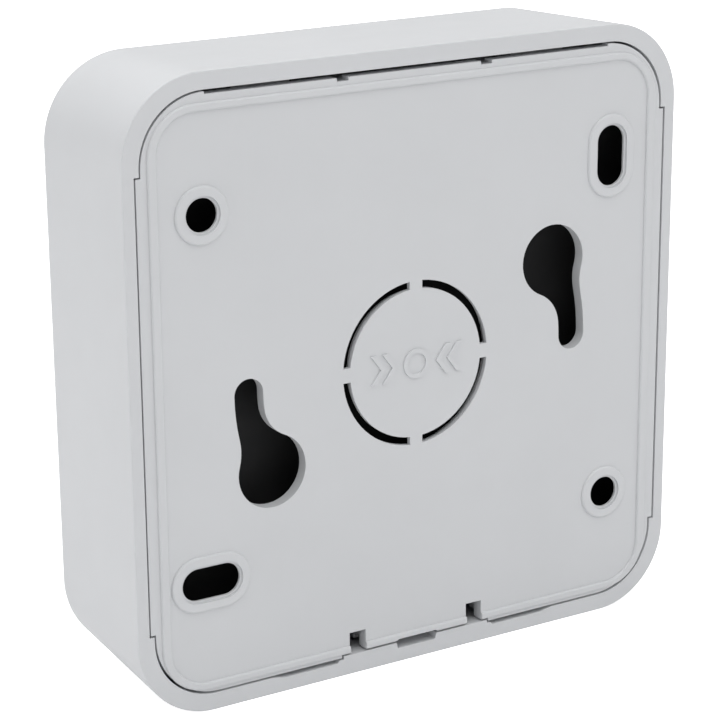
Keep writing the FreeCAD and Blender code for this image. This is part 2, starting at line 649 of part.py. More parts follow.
# ---- base plate -------------------------------------------------------------------

def meeting_point(first, first_radius, second, second_radius, side):
    """One of the two points at given distances from two centres."""
    gap = second - first
    span = gap.Length
    along = (first_radius ** 2 - second_radius ** 2 + span ** 2) / (2 * span)
    off = math.sqrt(first_radius ** 2 - along ** 2)
    unit = gap / span
    normal = FreeCAD.Vector(-unit.y, unit.x, 0)
    return first + unit * along + normal * off * side


def add_keyhole(sketch):
    """A keyhole bent round the plate's centre: narrow end level, wide end below it."""
    slot, head = d.keyhole_slot / 2, d.keyhole_head / 2
    outer, inner = d.keyhole_radius + slot, d.keyhole_radius - slot
    centre = FreeCAD.Vector(0, 0, 0)
    narrow = FreeCAD.Vector(d.keyhole_radius.number, 0, 0)
    wide = FreeCAD.Vector(d.keyhole_head_x.number, -d.keyhole_head_z.number, 0)
    blend_out, blend_in = d.keyhole_outer_blend.number, d.keyhole_inner_blend.number
    reach = head.number
    blend_a = meeting_point(centre, outer.number + blend_out, wide, reach + blend_out, 1)
    blend_b = meeting_point(centre, inner.number - blend_in, wide, reach + blend_in, 1)

    def angle(point, about):
        return math.atan2(point.y - about.y, point.x - about.x)

    def arc(about, radius, start, end):
        circle = Part.Circle(about, FreeCAD.Vector(0, 0, 1), radius)
        return sketch.addGeometry(Part.ArcOfCircle(circle, start, end), False)

    out_turn, in_turn = angle(blend_a, centre), angle(blend_b, centre)
    head_out, head_in = angle(blend_a, wide), angle(blend_b, wide)
    end_cap = arc(narrow, slot.number, 0, math.pi)
    flank_in = arc(centre, inner.number, in_turn, 0)
    curve_in = arc(blend_b, blend_in, head_in - math.pi, in_turn)
    wide_end = arc(wide, reach, head_in, head_out + 2 * math.pi)
    curve_out = arc(blend_a, blend_out, out_turn + math.pi, head_out + math.pi)
    flank_out = arc(centre, outer.number, out_turn, 0)
    # each pair is (arc, its end point, next arc, its start point) going round the outline
    joints = [(end_cap, 2, flank_in, 2), (flank_in, 1, curve_in, 2), (curve_in, 1, wide_end, 1),
              (wide_end, 2, curve_out, 2), (curve_out, 1, flank_out, 1), (flank_out, 2, end_cap, 1)]
    for joint in joints:
        sketch.addConstraint(Sketcher.Constraint("Tangent", *joint))
    for flank in (flank_in, flank_out):
        sketch.addConstraint(Sketcher.Constraint("Coincident", flank, 3, -1, 1))
    bind(sketch, "DistanceX", (-1, 1, end_cap, 3), d.keyhole_radius)
    sketch.addConstraint(Sketcher.Constraint("PointOnObject", end_cap, 3, -1))
    bind(sketch, "Radius", (end_cap,), slot)
    bind_point(sketch, wide_end, 3, d.keyhole_head_x, -d.keyhole_head_z)
    bind(sketch, "Radius", (wide_end,), head)
    bind(sketch, "Radius", (curve_in,), d.keyhole_inner_blend)
    bind(sketch, "Radius", (curve_out,), d.keyhole_outer_blend)


def add_ring_quarter(sketch, outer, width, bridge):
    """One of four arc slots; a bridge is left on each axis."""
    inner = outer - width
    centre = FreeCAD.Vector(0, 0, 0)
    half = (bridge / 2).number
    arcs = []
    for radius in (outer, inner):
        start = math.asin(half / radius.number)
        circle = Part.Circle(centre, FreeCAD.Vector(0, 0, 1), radius.number)
        arcs.append(sketch.addGeometry(Part.ArcOfCircle(circle, start, math.pi / 2 - start), False))
        sketch.addConstraint(Sketcher.Constraint("Coincident", arcs[-1], 3, -1, 1))
        bind(sketch, "Radius", (arcs[-1],), radius)
        bind(sketch, "DistanceY", (-1, 1, arcs[-1], 1), bridge / 2)
        bind(sketch, "DistanceX", (-1, 1, arcs[-1], 2), bridge / 2)
    for end in (1, 2):
        points = [sketch.getPoint(arc, end) for arc in arcs]
        line = sketch.addGeometry(Part.LineSegment(*points), False)
        sketch.addConstraint(Sketcher.Constraint("Coincident", arcs[0], end, line, 1))
        sketch.addConstraint(Sketcher.Constraint("Coincident", arcs[1], end, line, 2))


def fixing_outlines(body, name, depth, grow):
    """The four fixing holes, enlarged all round: round ones on one diagonal, slots on the other."""
    sketch = sketch_at(body, name, depth)
    diameter, length = d.fix_hole + grow * 2, d.fix_slot + grow * 2
    for side in (1, -1):
        add_circle(sketch, d.fix_x * side, d.fix_z * side, diameter / 2)
        add_slot(sketch, d.fix_x * -side, d.fix_z * side, length, diameter, upright=side > 0)
    return sketch


def make_base_plate():
    body = new_body("base_plate")
    gap = d.fit_gap
    side = d.cavity_half - gap

    panel = sketch_at(body, "panel", d.relief)
    add_rounded(panel, -side, side, gap - d.cavity_bottom, d.cavity_top - gap,
                d.cavity_corner - gap + d.corner_ease)
    pad(body, panel, d.plate_thickness)
    padded_box(body, "ears", -d.ear_half_width, d.ear_half_width, -d.ear_half_height,
               d.ear_half_height, d.relief, PANEL_FRONT)
    make_skirt(body)

    ridge = sketch_at(body, "ridge", 0)
    side_in, end_in = d.ridge_side_width, d.ridge_end_width
    add_rounded(ridge, -d.ridge_half, d.ridge_half, -d.ridge_bottom, d.ridge_top, d.ridge_corner)
    add_rounded(ridge, side_in - d.ridge_half, d.ridge_half - side_in, end_in - d.ridge_bottom,
                d.ridge_top - end_in, d.ridge_corner - side_in)
    pad(body, ridge, d.relief + JOIN)
    collars = pad(body, fixing_outlines(body, "collars", 0, d.collar_width), d.relief + JOIN)
    rounded_edges(body, collars, d.relief_rounding, 0)

    # Each fixing hole has a shallow recess in its collar and a seat for the screw head inside.
    pocket(body, fixing_outlines(body, "collar_steps", -CLEAR, d.collar_step), CLEAR + d.collar_step_depth)
    pocket(body, fixing_outlines(body, "holes", -CLEAR, as_size(0)), THROUGH)
    seat = d.collar_step_depth + d.hole_wall
    pocket(body, fixing_outlines(body, "head_seats", seat, d.head_seat), THROUGH)

    keyhole = sketch_at(body, "keyhole", -CLEAR)
    add_keyhole(keyhole)
    turned(body, pocket(body, keyhole, THROUGH), 2)

    ring = sketch_at(body, "knockout", -CLEAR)
    add_ring_quarter(ring, d.knockout / 2, d.knockout_slot, d.knockout_bridge)
    turned(body, pocket(body, ring, THROUGH), 4)
    groove = sketch_at(body, "knockout_groove", d.relief + d.knockout_wall)
    add_circle(groove, 0, 0, d.knockout / 2 + d.knockout_groove)
    add_circle(groove, 0, 0, d.knockout / 2 - d.knockout_slot - d.knockout_groove)
    pocket(body, groove, THROUGH)
    make_press_symbol(body)

    cut_box(body, "top_trim", -d.top_trim_half, d.top_trim_half, d.top_trim, d.cavity_top + CLEAR,
            -CLEAR, PANEL_FRONT + JOIN)
    nick = cut_box(body, "top_nick", d.nick_near, d.nick_far, d.top_trim - d.nick_depth,
                   d.top_trim + CLEAR, -CLEAR, PANEL_FRONT + JOIN)
    mirrored(body, nick)
    make_snap_tongue(body)
    make_top_hooks(body)
    return body


def make_skirt(body):
    """A wall round the inside of the panel, open at the tongue and at the hooks."""
    start, end = PANEL_FRONT - JOIN, d.skirt_depth
    reach, wall = d.skirt_half, d.skirt_width
    corner = d.cavity_corner - (d.cavity_half - reach)
    skirt = sketch_at(body, "skirt", start)
    add_rounded(skirt, -reach, reach, -reach, reach, corner)
    add_rounded(skirt, wall - reach, reach - wall, wall - reach, reach - wall, corner - wall)
    pad(body, skirt, end - start)
    cut_box(body, "skirt_gap_low", -d.ledge_half, d.ledge_half, -reach - CLEAR, wall - reach + JOIN,
            PANEL_FRONT, end + CLEAR)
    gap_start = d.hook_near - d.hook_spare
    gap_end = d.hook_near + d.hook_length + d.hook_spare
    gap_top = cut_box(body, "skirt_gap_top", gap_start, gap_end, reach - wall - JOIN, reach + CLEAR,
                      PANEL_FRONT, end + CLEAR)
    mirrored(body, gap_top)


def make_press_symbol(body):
    """Raised mark on the knock-out: a ring with two chevrons pointing at it from each side."""
    start, height = d.relief - d.symbol_relief, d.symbol_relief + JOIN
    tall, stroke = d.symbol_half_height, d.symbol_stroke
    ring = sketch_at(body, "symbol_ring", start)
    add_circle(ring, 0, 0, tall)
    add_circle(ring, 0, 0, tall - stroke)
    pad(body, ring, height)
    chevrons = sketch_at(body, "symbol_chevrons", start)
    lean, thick = d.chevron_lean, d.chevron_width
    for tip in (d.chevron_first, d.chevron_second):
        add_polygon(chevrons, [(tip, 0), (tip + lean, -tall), (tip + lean + thick, -tall),
                               (tip + thick, 0), (tip + lean + thick, tall), (tip + lean, tall)])
    mirrored(body, pad(body, chevrons, height))


def make_snap_tongue(body):
    """Two notches free a tongue, whose arm reaches forward behind the housing's ledge."""
    end = PANEL_FRONT + JOIN
    notch = cut_box(body, "tongue_notch", d.tongue_half, d.tongue_half + d.tongue_notch,
                    -d.cavity_bottom - CLEAR, -d.tongue_root, -CLEAR, end)
    mirrored(body, notch)
    reach, low = d.ledge_half + d.fit_gap, -d.tongue_edge
    cut_box(body, "tongue_edge", -reach, reach, -d.cavity_bottom - CLEAR, low, -CLEAR, end)
    lift = sketch_at(body, "pry_lift", -CLEAR)
    half, slope = d.pry_half, d.pry_lift
    add_polygon(lift, [(-half - slope, low - CLEAR), (half + slope, low - CLEAR), (half + slope, low),
                       (half, low + slope), (-half, low + slope), (-half - slope, low)])
    pocket(body, lift, CLEAR + end)

    arm = sketch_at(body, "tongue_arm", 0, "YZ_Plane")
    root, tip, outer = JOIN * 2 - end, -d.tongue_arm_end, low + d.tongue_nose
    nose_rear = -(d.rim_gap + d.ledge_thickness + d.fit_gap)
    nose_high = nose_rear - d.nose_back
    nose_end = nose_high - d.nose_flat
    add_polygon(arm, [(root, outer), (root, outer + d.tongue_arm), (tip, outer + d.tongue_arm),
                      (tip, outer), (nose_end - d.nose_ramp, outer), (nose_end, low), (nose_high, low),
                      (nose_rear, outer)])
    pad(body, arm, (d.tongue_half - d.tongue_arm_inset) * 2, midplane=True)


def make_top_hooks(body):
    """Two lugs that the housing's ribs hang behind."""
    lug = sketch_at(body, "hook", d.hook_near, "YZ_Plane")
    root, rear, front = JOIN - PANEL_FRONT, -d.hook_rear, -d.hook_front
    low, high, reach, bevel = d.hook_low, d.hook_low + d.hook_arm, d.hook_reach, d.hook_bevel
    add_polygon(lug, [(root, low), (root, high), (rear, high), (rear, reach), (front + bevel, reach),
                      (front, reach - bevel), (front, low + bevel), (front + bevel, low)])
    mirrored(body, pad(body, lug, d.hook_length))


# ---- front housing ----------------------------------------------------------------

def make_front_housing():
    body = new_body("front_housing")
    rim = sketch_at(body, "rim", d.rim_gap)
    add_rounded(rim, -HALF_SIDE, HALF_SIDE, -HALF_SIDE, HALF_SIDE, d.housing_corner)
    front = sketch_at(body, "front", d.housing_depth)
    add_rounded(front, -d.front_half, d.front_half, -d.front_half, d.front_half, d.front_corner)
    softened = rounded_edges(body, loft(body, rim, front), d.front_rounding, d.housing_depth)
    rounded_edges(body, softened, d.rim_rounding, d.rim_gap)

    cavity = sketch_at(body, "cavity", d.rim_gap)
    add_rounded(cavity, -d.cavity_half, d.cavity_half, -d.cavity_bottom, d.cavity_top, d.cavity_corner)
    pocket(body, cavity, CAVITY_FRONT - d.rim_gap, draft=d.housing_draft)
    ear_x, ear_z = d.ear_half_width + d.fit_gap, d.ear_half_height + d.fit_gap
    cut_box(body, "ear_seat", -ear_x, ear_x, -ear_z, ear_z, 0, d.ear_seat)

    # Ledge that holds the snap tongue, the slot that a screwdriver goes in, and shallow rim pockets.
    start, flare = d.rim_gap, d.pry_flare
    padded_box(body, "ledge", -d.ledge_half, d.ledge_half, -d.cavity_bottom - d.ledge_root, -d.ledge_edge,
               start, start + d.ledge_thickness)
    pry = sketch_at(body, "pry_slot", 0)
    add_polygon(pry, [(-d.pry_half, -d.pry_edge), (d.pry_half, -d.pry_edge),
                      (d.pry_half + flare, flare - d.ledge_edge),
                      (-d.pry_half - flare, flare - d.ledge_edge)])
    pocket(body, pry, start + d.pry_depth)
    rim_pocket = sketch_at(body, "rim_pocket", 0)
    inner = flare - d.cavity_bottom
    outer = inner - d.rim_pocket_height
    near, far = d.rim_pocket_near, d.rim_pocket_far
    add_polygon(rim_pocket, [(near, inner), (near + d.rim_pocket_slope_near, outer),
                             (far - d.rim_pocket_slope_far, outer), (far, inner)])
    mirrored(body, pocket(body, rim_pocket, start + d.rim_pocket_depth))

    corners = four_corners(d.boss_x, d.boss_top, -d.boss_low)
    padded_discs(body, "boss", corners, d.boss_radius, CHASSIS_FLOOR, CAVITY_FRONT + JOIN)
    cut_discs(body, "boss_bore", corners, d.screw_radius + d.thread_gap, CHASSIS_FLOOR - CLEAR,
              CHASSIS_FLOOR + d.boss_bore_depth)

    # Openings in the front face.
    dish = sketch_at(body, "dish", d.housing_depth - d.dish_depth)
    margin = d.dish_margin
    add_rounded(dish, -d.window_half - margin, d.window_half + margin, -d.window_bottom - margin,
                d.window_top + margin, d.dish_corner)
    pocket(body, dish, THROUGH)
    window = sketch_at(body, "window", CAVITY_FRONT - CLEAR)
    add_rounded(window, -d.window_half, d.window_half, -d.window_bottom, d.window_top, d.window_corner)
    pocket(body, window, THROUGH)
    peep = sketch_at(body, "flag_window", CAVITY_FRONT - CLEAR)
    add_rounded(peep, -d.flag_window_half, d.flag_window_half, -d.flag_window_bottom,
                -d.flag_window_top, d.flag_window_corner)
    pocket(body, peep, THROUGH)
    cut_discs(body, "led_hole", [(d.led_x, -d.led_z)], d.pipe_radius + d.pipe_play,
              CAVITY_FRONT - CLEAR, d.housing_depth + CLEAR)

    key_hole = sketch_at(body, "key_hole", -HALF_SIDE - CLEAR, "XY_Plane")
    add_circle(key_hole, 0, -d.cam_depth, d.cam_radius + d.running_gap)
    pocket(body, key_hole, HALF_SIDE + CLEAR)
    rib_start = d.hook_near + d.hook_spare
    rib_end = d.hook_near + d.hook_length - d.hook_spare
    rib = padded_box(body, "hook_rib", rib_start, rib_end, d.rib_low, d.cavity_top + d.rib_root,
                     d.rib_near, d.rib_near + d.rib_thickness)
    mirrored(body, rib)
    return body


# ---- chassis and board ------------------------------------------------------------

def make_chassis():
    body = new_body("chassis")
    half, top, low, wall = d.chassis_half, d.chassis_top, -d.chassis_bottom, d.chassis_wall
    floor = sketch_at(body, "floor", d.chassis_rear)
    add_rounded(floor, -half, half, low, top, d.chassis_corner)
    pad(body, floor, wall)
    rim = sketch_at(body, "rim", CHASSIS_FLOOR - JOIN)
    add_rounded(rim, -half, half, low, top, d.chassis_corner)
    add_rounded(rim, wall - half, half - wall, low + wall, top - wall, d.chassis_corner - wall)
    pad(body, rim, d.chassis_front - CHASSIS_FLOOR + JOIN)

    start = CHASSIS_FLOOR - JOIN
    board_corners = four_corners(d.board_screw_x, d.board_screw_top, -d.board_screw_low)
    stem_front = d.stem_rear + d.stem_thickness
    spring_place = [(d.spring_x, -d.spring_z)]
    padded_discs(body, "standoff", board_corners, d.standoff_radius, start, d.board_rear)
    padded_discs(body, "spring_boss", spring_place, d.spring_boss, start, d.spring_seat)
    padded_discs(body, "spring_peg", spring_place, d.spring_peg, d.spring_seat - JOIN,
                 d.spring_seat + d.spring_peg_height)
    guide = padded_box(body, "guide", d.guide_near, d.guide_far, -d.guide_low, -d.guide_high,
                       start, stem_front + d.guide_lip)
    post = padded_box(body, "pivot_post", d.post_near, d.post_far, d.pivot_height - d.post_half,
                      d.pivot_height + d.post_half, start, d.pivot_depth + d.post_reach)
    mirrored(body, guide, post)

    groove = d.stem_half + d.stem_side_gap
    cut_box(body, "groove", -groove, groove, -d.guide_low - d.groove_spare, d.groove_spare - d.guide_high,
            d.stem_rear - d.stem_gap, stem_front + d.stem_gap)
    cut_box(body, "terminal_window", -d.terminal_window_half, d.terminal_window_half,
            -d.terminal_window_low, -d.terminal_window_high, d.chassis_rear - CLEAR, CHASSIS_FLOOR + JOIN)
    cut_discs(body, "screw_hole", four_corners(d.boss_x, d.boss_top, -d.boss_low), d.screw_hole,
              d.chassis_rear - CLEAR, CHASSIS_FLOOR + CLEAR)
    cut_discs(body, "standoff_bore", board_corners, d.board_screw_radius + d.thread_gap,
              CHASSIS_FLOOR + d.standoff_floor, d.board_rear + CLEAR)
    pin = sketch_at(body, "pin_hole", 0, "YZ_Plane")
    add_circle(pin, -d.pivot_depth, d.pivot_height, d.pin_radius)
    pocket(body, pin, THROUGH, midplane=True)
    cut_box(body, "cam_notch", -d.cam_notch_half, d.cam_notch_half, low - CLEAR,
            low + wall + d.cam_notch_spare, d.cam_notch_rear, d.chassis_front + CLEAR)
    return body


def make_circuit_board():
    body = new_body("circuit_board")
    board = sketch_at(body, "outline", d.board_rear)
    add_rounded(board, -d.board_half, d.board_half, -d.board_bottom, d.board_top, d.board_corner)
    pad(body, board, d.board_thickness)
    near, far, play = d.board_rear - CLEAR, BOARD_FRONT + CLEAR, d.board_play
    slot = cut_box(body, "guide_slot", d.guide_near - play, d.guide_far + play, -d.guide_low - play,
                   play - d.guide_high, near, far)
    mirrored(body, slot)
    cut_box(body, "ramp_slot", -d.ramp_slot_half, d.ramp_slot_half, -d.ramp_slot_low, -d.ramp_slot_high,
            near, far)
    cut_discs(body, "spring_hole", [(d.spring_x, -d.spring_z)], d.spring_boss + play, near, far)
    cut_discs(body, "screw_hole", four_corners(d.board_screw_x, d.board_screw_top, -d.board_screw_low),
              d.board_screw_radius + d.board_screw_play, near, far)
    return body


# ---- press plate, flag and cam ----------------------------------------------------

def make_press_plate():
    body = new_body("press_plate")
    flange = sketch_at(body, "flange", d.press_rear)
    add_rounded(flange, -d.window_half - d.press_lip, d.window_half + d.press_lip,
                -d.window_bottom - d.press_lip_low, d.window_top + d.press_lip, d.press_lip_corner)
    pad(body, flange, d.press_flange_front - d.press_rear)
    face = sketch_at(body, "face", d.press_flange_front - JOIN)
    gap = d.window_gap
    add_rounded(face, gap - d.window_half, d.window_half - gap, gap - d.window_bottom,
                d.window_top - gap, d.press_corner)
    face_pad = pad(body, face, d.press_front - d.press_flange_front + JOIN)
    rounded_edges(body, face_pad, d.press_rounding, d.press_front)

    ear = sketch_at(body, "ear", d.ear_near, "YZ_Plane")
    pivot, height = -d.pivot_depth, d.pivot_height
    add_rounded(ear, pivot - d.ear_front, pivot + d.ear_rear, height - d.ear_low, height + d.ear_high,
                d.ear_corner)
    mirrored(body, pad(body, ear, d.ear_width))
    bore = sketch_at(body, "ear_bore", 0, "YZ_Plane")
    add_circle(bore, pivot, height, d.pin_radius + d.running_gap)
    pocket(body, bore, THROUGH, midplane=True)

    # The ramp pushes the flag down as the plate goes in.
    ramp = sketch_at(body, "ramp", 0, "YZ_Plane")
    root, tip = -d.press_rear - JOIN, -d.ramp_tip
    add_polygon(ramp, [(root, -d.ramp_foot), (-d.ramp_shoulder, -d.ramp_low), (tip, -d.ramp_low),
                       (tip, -d.ramp_high), (root, -d.ramp_high)])
    pad(body, ramp, d.ramp_width, midplane=True)
    padded_box(body, "switch_rib", -d.switch_rib_far, -d.switch_rib_near, d.switch_z - d.switch_rib_half,
               d.switch_z + d.switch_rib_half, d.switch_rib_rear, d.press_rear + JOIN)
    padded_discs(body, "spring_peg", [(d.spring_x, -d.spring_z)], d.spring_peg, d.spring_peg_rear,
                 d.press_rear + JOIN)

    recess = sketch_at(body, "symbol_recess", d.press_front - d.mark_recess)
    add_press_mark(recess, d.mark_gap)
    pocket(body, recess, CLEAR)
    return body


def add_press_mark(sketch, grow):
    """A disc with a triangle pointing at it from each side."""
    middle = d.mark_height
    tip, base, half = d.mark_tip - grow, d.mark_base + grow, d.mark_half + grow
    add_circle(sketch, 0, middle, d.mark_disc + grow)
    for side in (1, -1):
        add_polygon(sketch, [(tip * side, middle), (base * side, middle - half),
                             (base * side, middle + half)])


def make_press_mark():
    body = new_body("press_mark")
    mark = sketch_at(body, "mark", d.press_front - d.mark_recess)
    add_press_mark(mark, as_size(0))
    pad(body, mark, d.mark_thickness)
    return body


def make_status_flag():
    body = new_body("status_flag")
    foot, stem_front = -d.flag_foot, d.stem_rear + d.stem_thickness
    padded_box(body, "stem", -d.stem_half, d.stem_half, foot, d.stem_top, d.stem_rear, stem_front)
    padded_box(body, "bridge", -d.flag_bridge_half, d.flag_bridge_half, foot, foot + d.flag_bridge_height,
               stem_front - JOIN, d.banner_rear + JOIN)
    padded_box(body, "banner", -d.flag_half, d.flag_half, foot, -d.banner_top, d.banner_rear,
               d.banner_rear + d.banner_thickness)
    cut_box(body, "ramp_slot", -d.stem_slot_half, d.stem_slot_half, -d.stem_slot_low, -d.stem_slot_high,
            d.stem_rear - CLEAR, stem_front + CLEAR)
    return body


def make_flag_lens():
    body = new_body("flag_lens")
    flange = sketch_at(body, "flange", d.lens_rear)
    half, low, high = d.flag_window_half, -d.flag_window_bottom, -d.flag_window_top
    lip, gap = d.lens_lip, d.lens_gap
    add_rounded(flange, -half - lip, half + lip, low - lip, high + lip, d.lens_corner)
    pad(body, flange, CAVITY_FRONT - d.lens_rear)
    pane = sketch_at(body, "pane", CAVITY_FRONT - JOIN)
    add_rounded(pane, gap - half, half - gap, low + gap, high - gap, d.flag_window_corner - gap)
    pad(body, pane, d.front_wall - d.lens_sink + JOIN)
    return body


def make_reset_cam():
    body = new_body("reset_cam")
    middle, top = -d.cam_depth, -d.cam_high
    for name, radius, low, high in (("shaft", d.cam_radius, -d.cam_low, top),
                                    ("collar", d.cam_collar, -d.cam_collar_low, -d.cam_collar_high)):
        sketch = sketch_at(body, name, low, "XY_Plane")
        add_circle(sketch, 0, middle, radius)
        pad(body, sketch, high - low)
    lobe = sketch_at(body, "lobe", top - JOIN, "XY_Plane")
    add_box(lobe, d.cam_lobe_near, d.cam_lobe_far, middle - d.cam_lobe_half, middle + d.cam_lobe_half)
    pad(body, lobe, -d.cam_lobe_top - top + JOIN)
    start = -d.cam_low - CLEAR
    socket = sketch_at(body, "socket", start, "XY_Plane")
    add_circle(socket, 0, middle, d.key_stem)
    pocket(body, socket, -d.key_end - start)
    blade = sketch_at(body, "blade", start, "XY_Plane")
    add_box(blade, -d.key_blade_half, d.key_blade_half, middle - d.key_blade_thick,
            middle + d.key_blade_thick)
    pocket(body, blade, -d.key_end - start)
    return body


# ---- microswitch ------------------------------------------------------------------

def make_switch_body():
    body = new_body("switch_body")
    low, high, wall = d.switch_z - d.switch_half, d.switch_z + d.switch_half, d.switch_ear_wall
    left = -d.switch_left
    padded_box(body, "case", left, -d.switch_right, low, high, BOARD_FRONT, d.switch_front)
    for name, ear_low, ear_high in (("ear_low", low, low + wall), ("ear_high", high - wall, high)):
        padded_box(body, name, left, -d.switch_ear_end, ear_low, ear_high, d.switch_front - JOIN,
                   d.switch_ear_front)
    pin = sketch_at(body, "pin", low + wall / 2, "XY_Plane")
    add_circle(pin, -d.lever_pivot_x, -d.lever_pivot_depth, d.lever_pin)
    pad(body, pin, d.switch_half * 2 - wall)
    half, half_height = d.plunger_half + d.plunger_gap, d.plunger_half_height + d.plunger_gap
    cut_box(body, "plunger_bore", -d.plunger_x - half, half - d.plunger_x, d.switch_z - half_height,
            d.switch_z + half_height, d.plunger_rear - d.plunger_room, d.switch_front + CLEAR)
    return body


def make_switch_lever():
    body = new_body("switch_lever")
    low, half = d.switch_z - d.lever_eye_half, d.lever_half
    pivot_x, pivot_depth = -d.lever_pivot_x, d.lever_pivot_depth
    eye = sketch_at(body, "eye", low, "XY_Plane")
    add_circle(eye, pivot_x, -pivot_depth, d.lever_eye)
    pad(body, eye, d.lever_eye_half * 2)
    padded_box(body, "blade", pivot_x, -d.lever_end, d.switch_z - half, d.switch_z + half,
               pivot_depth - d.lever_thickness / 2, pivot_depth + d.lever_thickness / 2)
    bore = sketch_at(body, "bore", low - CLEAR, "XY_Plane")
    add_circle(bore, pivot_x, -pivot_depth, d.lever_bore)
    pocket(body, bore, THROUGH)
    return body


def make_switch_plunger():
    body = new_body("switch_plunger")
    half, half_height = d.plunger_half, d.plunger_half_height
    padded_box(body, "plunger", -d.plunger_x - half, half - d.plunger_x, d.switch_z - half_height,
               d.switch_z + half_height, d.plunger_rear, d.plunger_front)
    return body


# ---- terminals --------------------------------------------------------------------

TERMINALS = 4


def terminal_places():
    middle = (TERMINALS - 1) / 2
    return [d.terminal_pitch * (i - middle) for i in range(TERMINALS)]


def make_terminal_block():
    body = new_body("terminal_block")
    half = d.terminal_pitch * (TERMINALS / 2)
    padded_box(body, "case", -half, half, -d.terminal_low, -d.terminal_high, d.terminal_rear, d.board_rear)
    wells = sketch_at(body, "wells", d.terminal_rear - CLEAR)
    start = -d.terminal_low - CLEAR
    entries = sketch_at(body, "entries", start, "XY_Plane")
    for across in terminal_places():
        add_circle(wells, across, -d.terminal_screw_z, d.terminal_well)
        add_box(entries, across - d.entry_half, across + d.entry_half, -d.entry_front, -d.entry_rear)
    pocket(body, wells, CLEAR + d.terminal_well_depth)
    pocket(body, entries, -d.entry_top - start)
    return body


def make_terminal_clamps():
    """One open metal cage in each wire entry."""
    body = new_body("terminal_clamps")
    sketch = sketch_at(body, "cages", -d.clamp_low, "XY_Plane")
    for across in terminal_places():
        for wall in (as_size(0), d.clamp_wall):
            half = d.clamp_half - wall
            add_box(sketch, across - half, across + half, wall - d.clamp_front, -d.clamp_rear - wall)
    body.AllowCompound = True
    pad(body, sketch, d.clamp_length)
    return body


# ---- hardware from primitives -----------------------------------------------------

def bound(thing, **sizes):
    """Bind the properties of a primitive to sizes."""
    for name, value in sizes.items():
        value = as_size(value)
        setattr(thing, name, value.number)
        thing.setExpression(name, value.text)
    return thing


def placed(thing, across, depth, up, rotation=None):
    """Place an object by expressions; rotation is (axis, degrees)."""
    if rotation:
        thing.Placement = FreeCAD.Placement(FreeCAD.Vector(), FreeCAD.Rotation(*rotation))
    for axis, value in (("x", as_size(across)), ("y", -as_size(depth)), ("z", as_size(up))):
        thing.setExpression("Placement.Base." + axis, value.text)
    return thing


ALONG_Y = (FreeCAD.Vector(1, 0, 0), 90)      # turns a primitive's +Z to -Y
ALONG_Y_BACK = (FreeCAD.Vector(1, 0, 0), -90)
ALONG_X = (FreeCAD.Vector(0, 1, 0), 90)


def rod(name, radius, across, up, near, far):
    """A cylinder between two depths, given in either order."""
    near, far = as_size(near), as_size(far)
    if near.number > far.number:
        near, far = far, near
    thing = doc.addObject("Part::Cylinder", name)
    bound(thing, Radius=radius, Height=far - near)
    return placed(thing, across, near, up, ALONG_Y)


def fused(name, shapes):
    fuse = doc.addObject("Part::MultiFuse", name)
    fuse.Shapes = shapes
    fuse.Label = name
    return fuse


def cut(name, base, tool):
    result = doc.addObject("Part::Cut", name)
    result.Base = base
    result.Tool = tool
    result.Label = name
    return result


def make_screws(label, places, head_radius, shank_radius, head_top, seat, tip, cross):
    """Identical cross-head screws. The head lies between head_top and seat."""
    screws = []
    for i, (across, up) in enumerate(places):
        name = "%s_%d" % (label, i)
        head = rod(name + "_head", head_radius, across, up, head_top, seat)
        shank = rod(name + "_shank", shank_radius, across, up, seat, tip)
        slots = []
        for end, length, height in (("_slot_x", cross, d.cross_width), ("_slot_z", d.cross_width, cross)):
            slot = doc.addObject("Part::Box", name + end)
            bound(slot, Length=length, Width=d.cross_depth * 2, Height=height)
            placed(slot, across - length / 2, head_top + d.cross_depth, up - height / 2)
            slots.append(slot)
        blank = fused(name + "_blank", [head, shank])
        screws.append(cut(name, blank, fused(name + "_cross", slots)))
    group = doc.addObject("Part::Compound", label)
    group.Links = screws
    group.Label = label
    return group


def make_terminal_screws():
    places = [(across, -d.terminal_screw_z) for across in terminal_places()]
    return make_screws("terminal_screws", places, d.terminal_screw_head, d.terminal_screw_shank,
                       d.terminal_screw_rear, d.terminal_screw_seat, d.terminal_screw_tip,
                       d.terminal_screw_cross)


def make_chassis_screws():
    places = four_corners(d.boss_x, d.boss_top, -d.boss_low)
    seat = d.chassis_rear
    return make_screws("chassis_screws", places, d.chassis_screw_head, d.screw_radius,
                       seat - d.chassis_screw_height, seat, seat + d.chassis_screw_length,
                       d.chassis_screw_cross)


def make_board_screws():
    places = four_corners(d.board_screw_x, d.board_screw_top, -d.board_screw_low)
    seat = BOARD_FRONT
    return make_screws("board_screws", places, d.board_screw_head, d.board_screw_radius,
                       seat + d.board_screw_height, seat, seat - d.board_screw_length,
                       d.board_screw_cross)


def make_pivot_pin():
    pin = doc.addObject("Part::Cylinder", "pivot_pin")
    pin.Label = "pivot_pin"
    bound(pin, Radius=d.pin_radius, Height=d.pin_length)
    return placed(pin, -d.pin_length / 2, d.pivot_depth, d.pivot_height, ALONG_X)


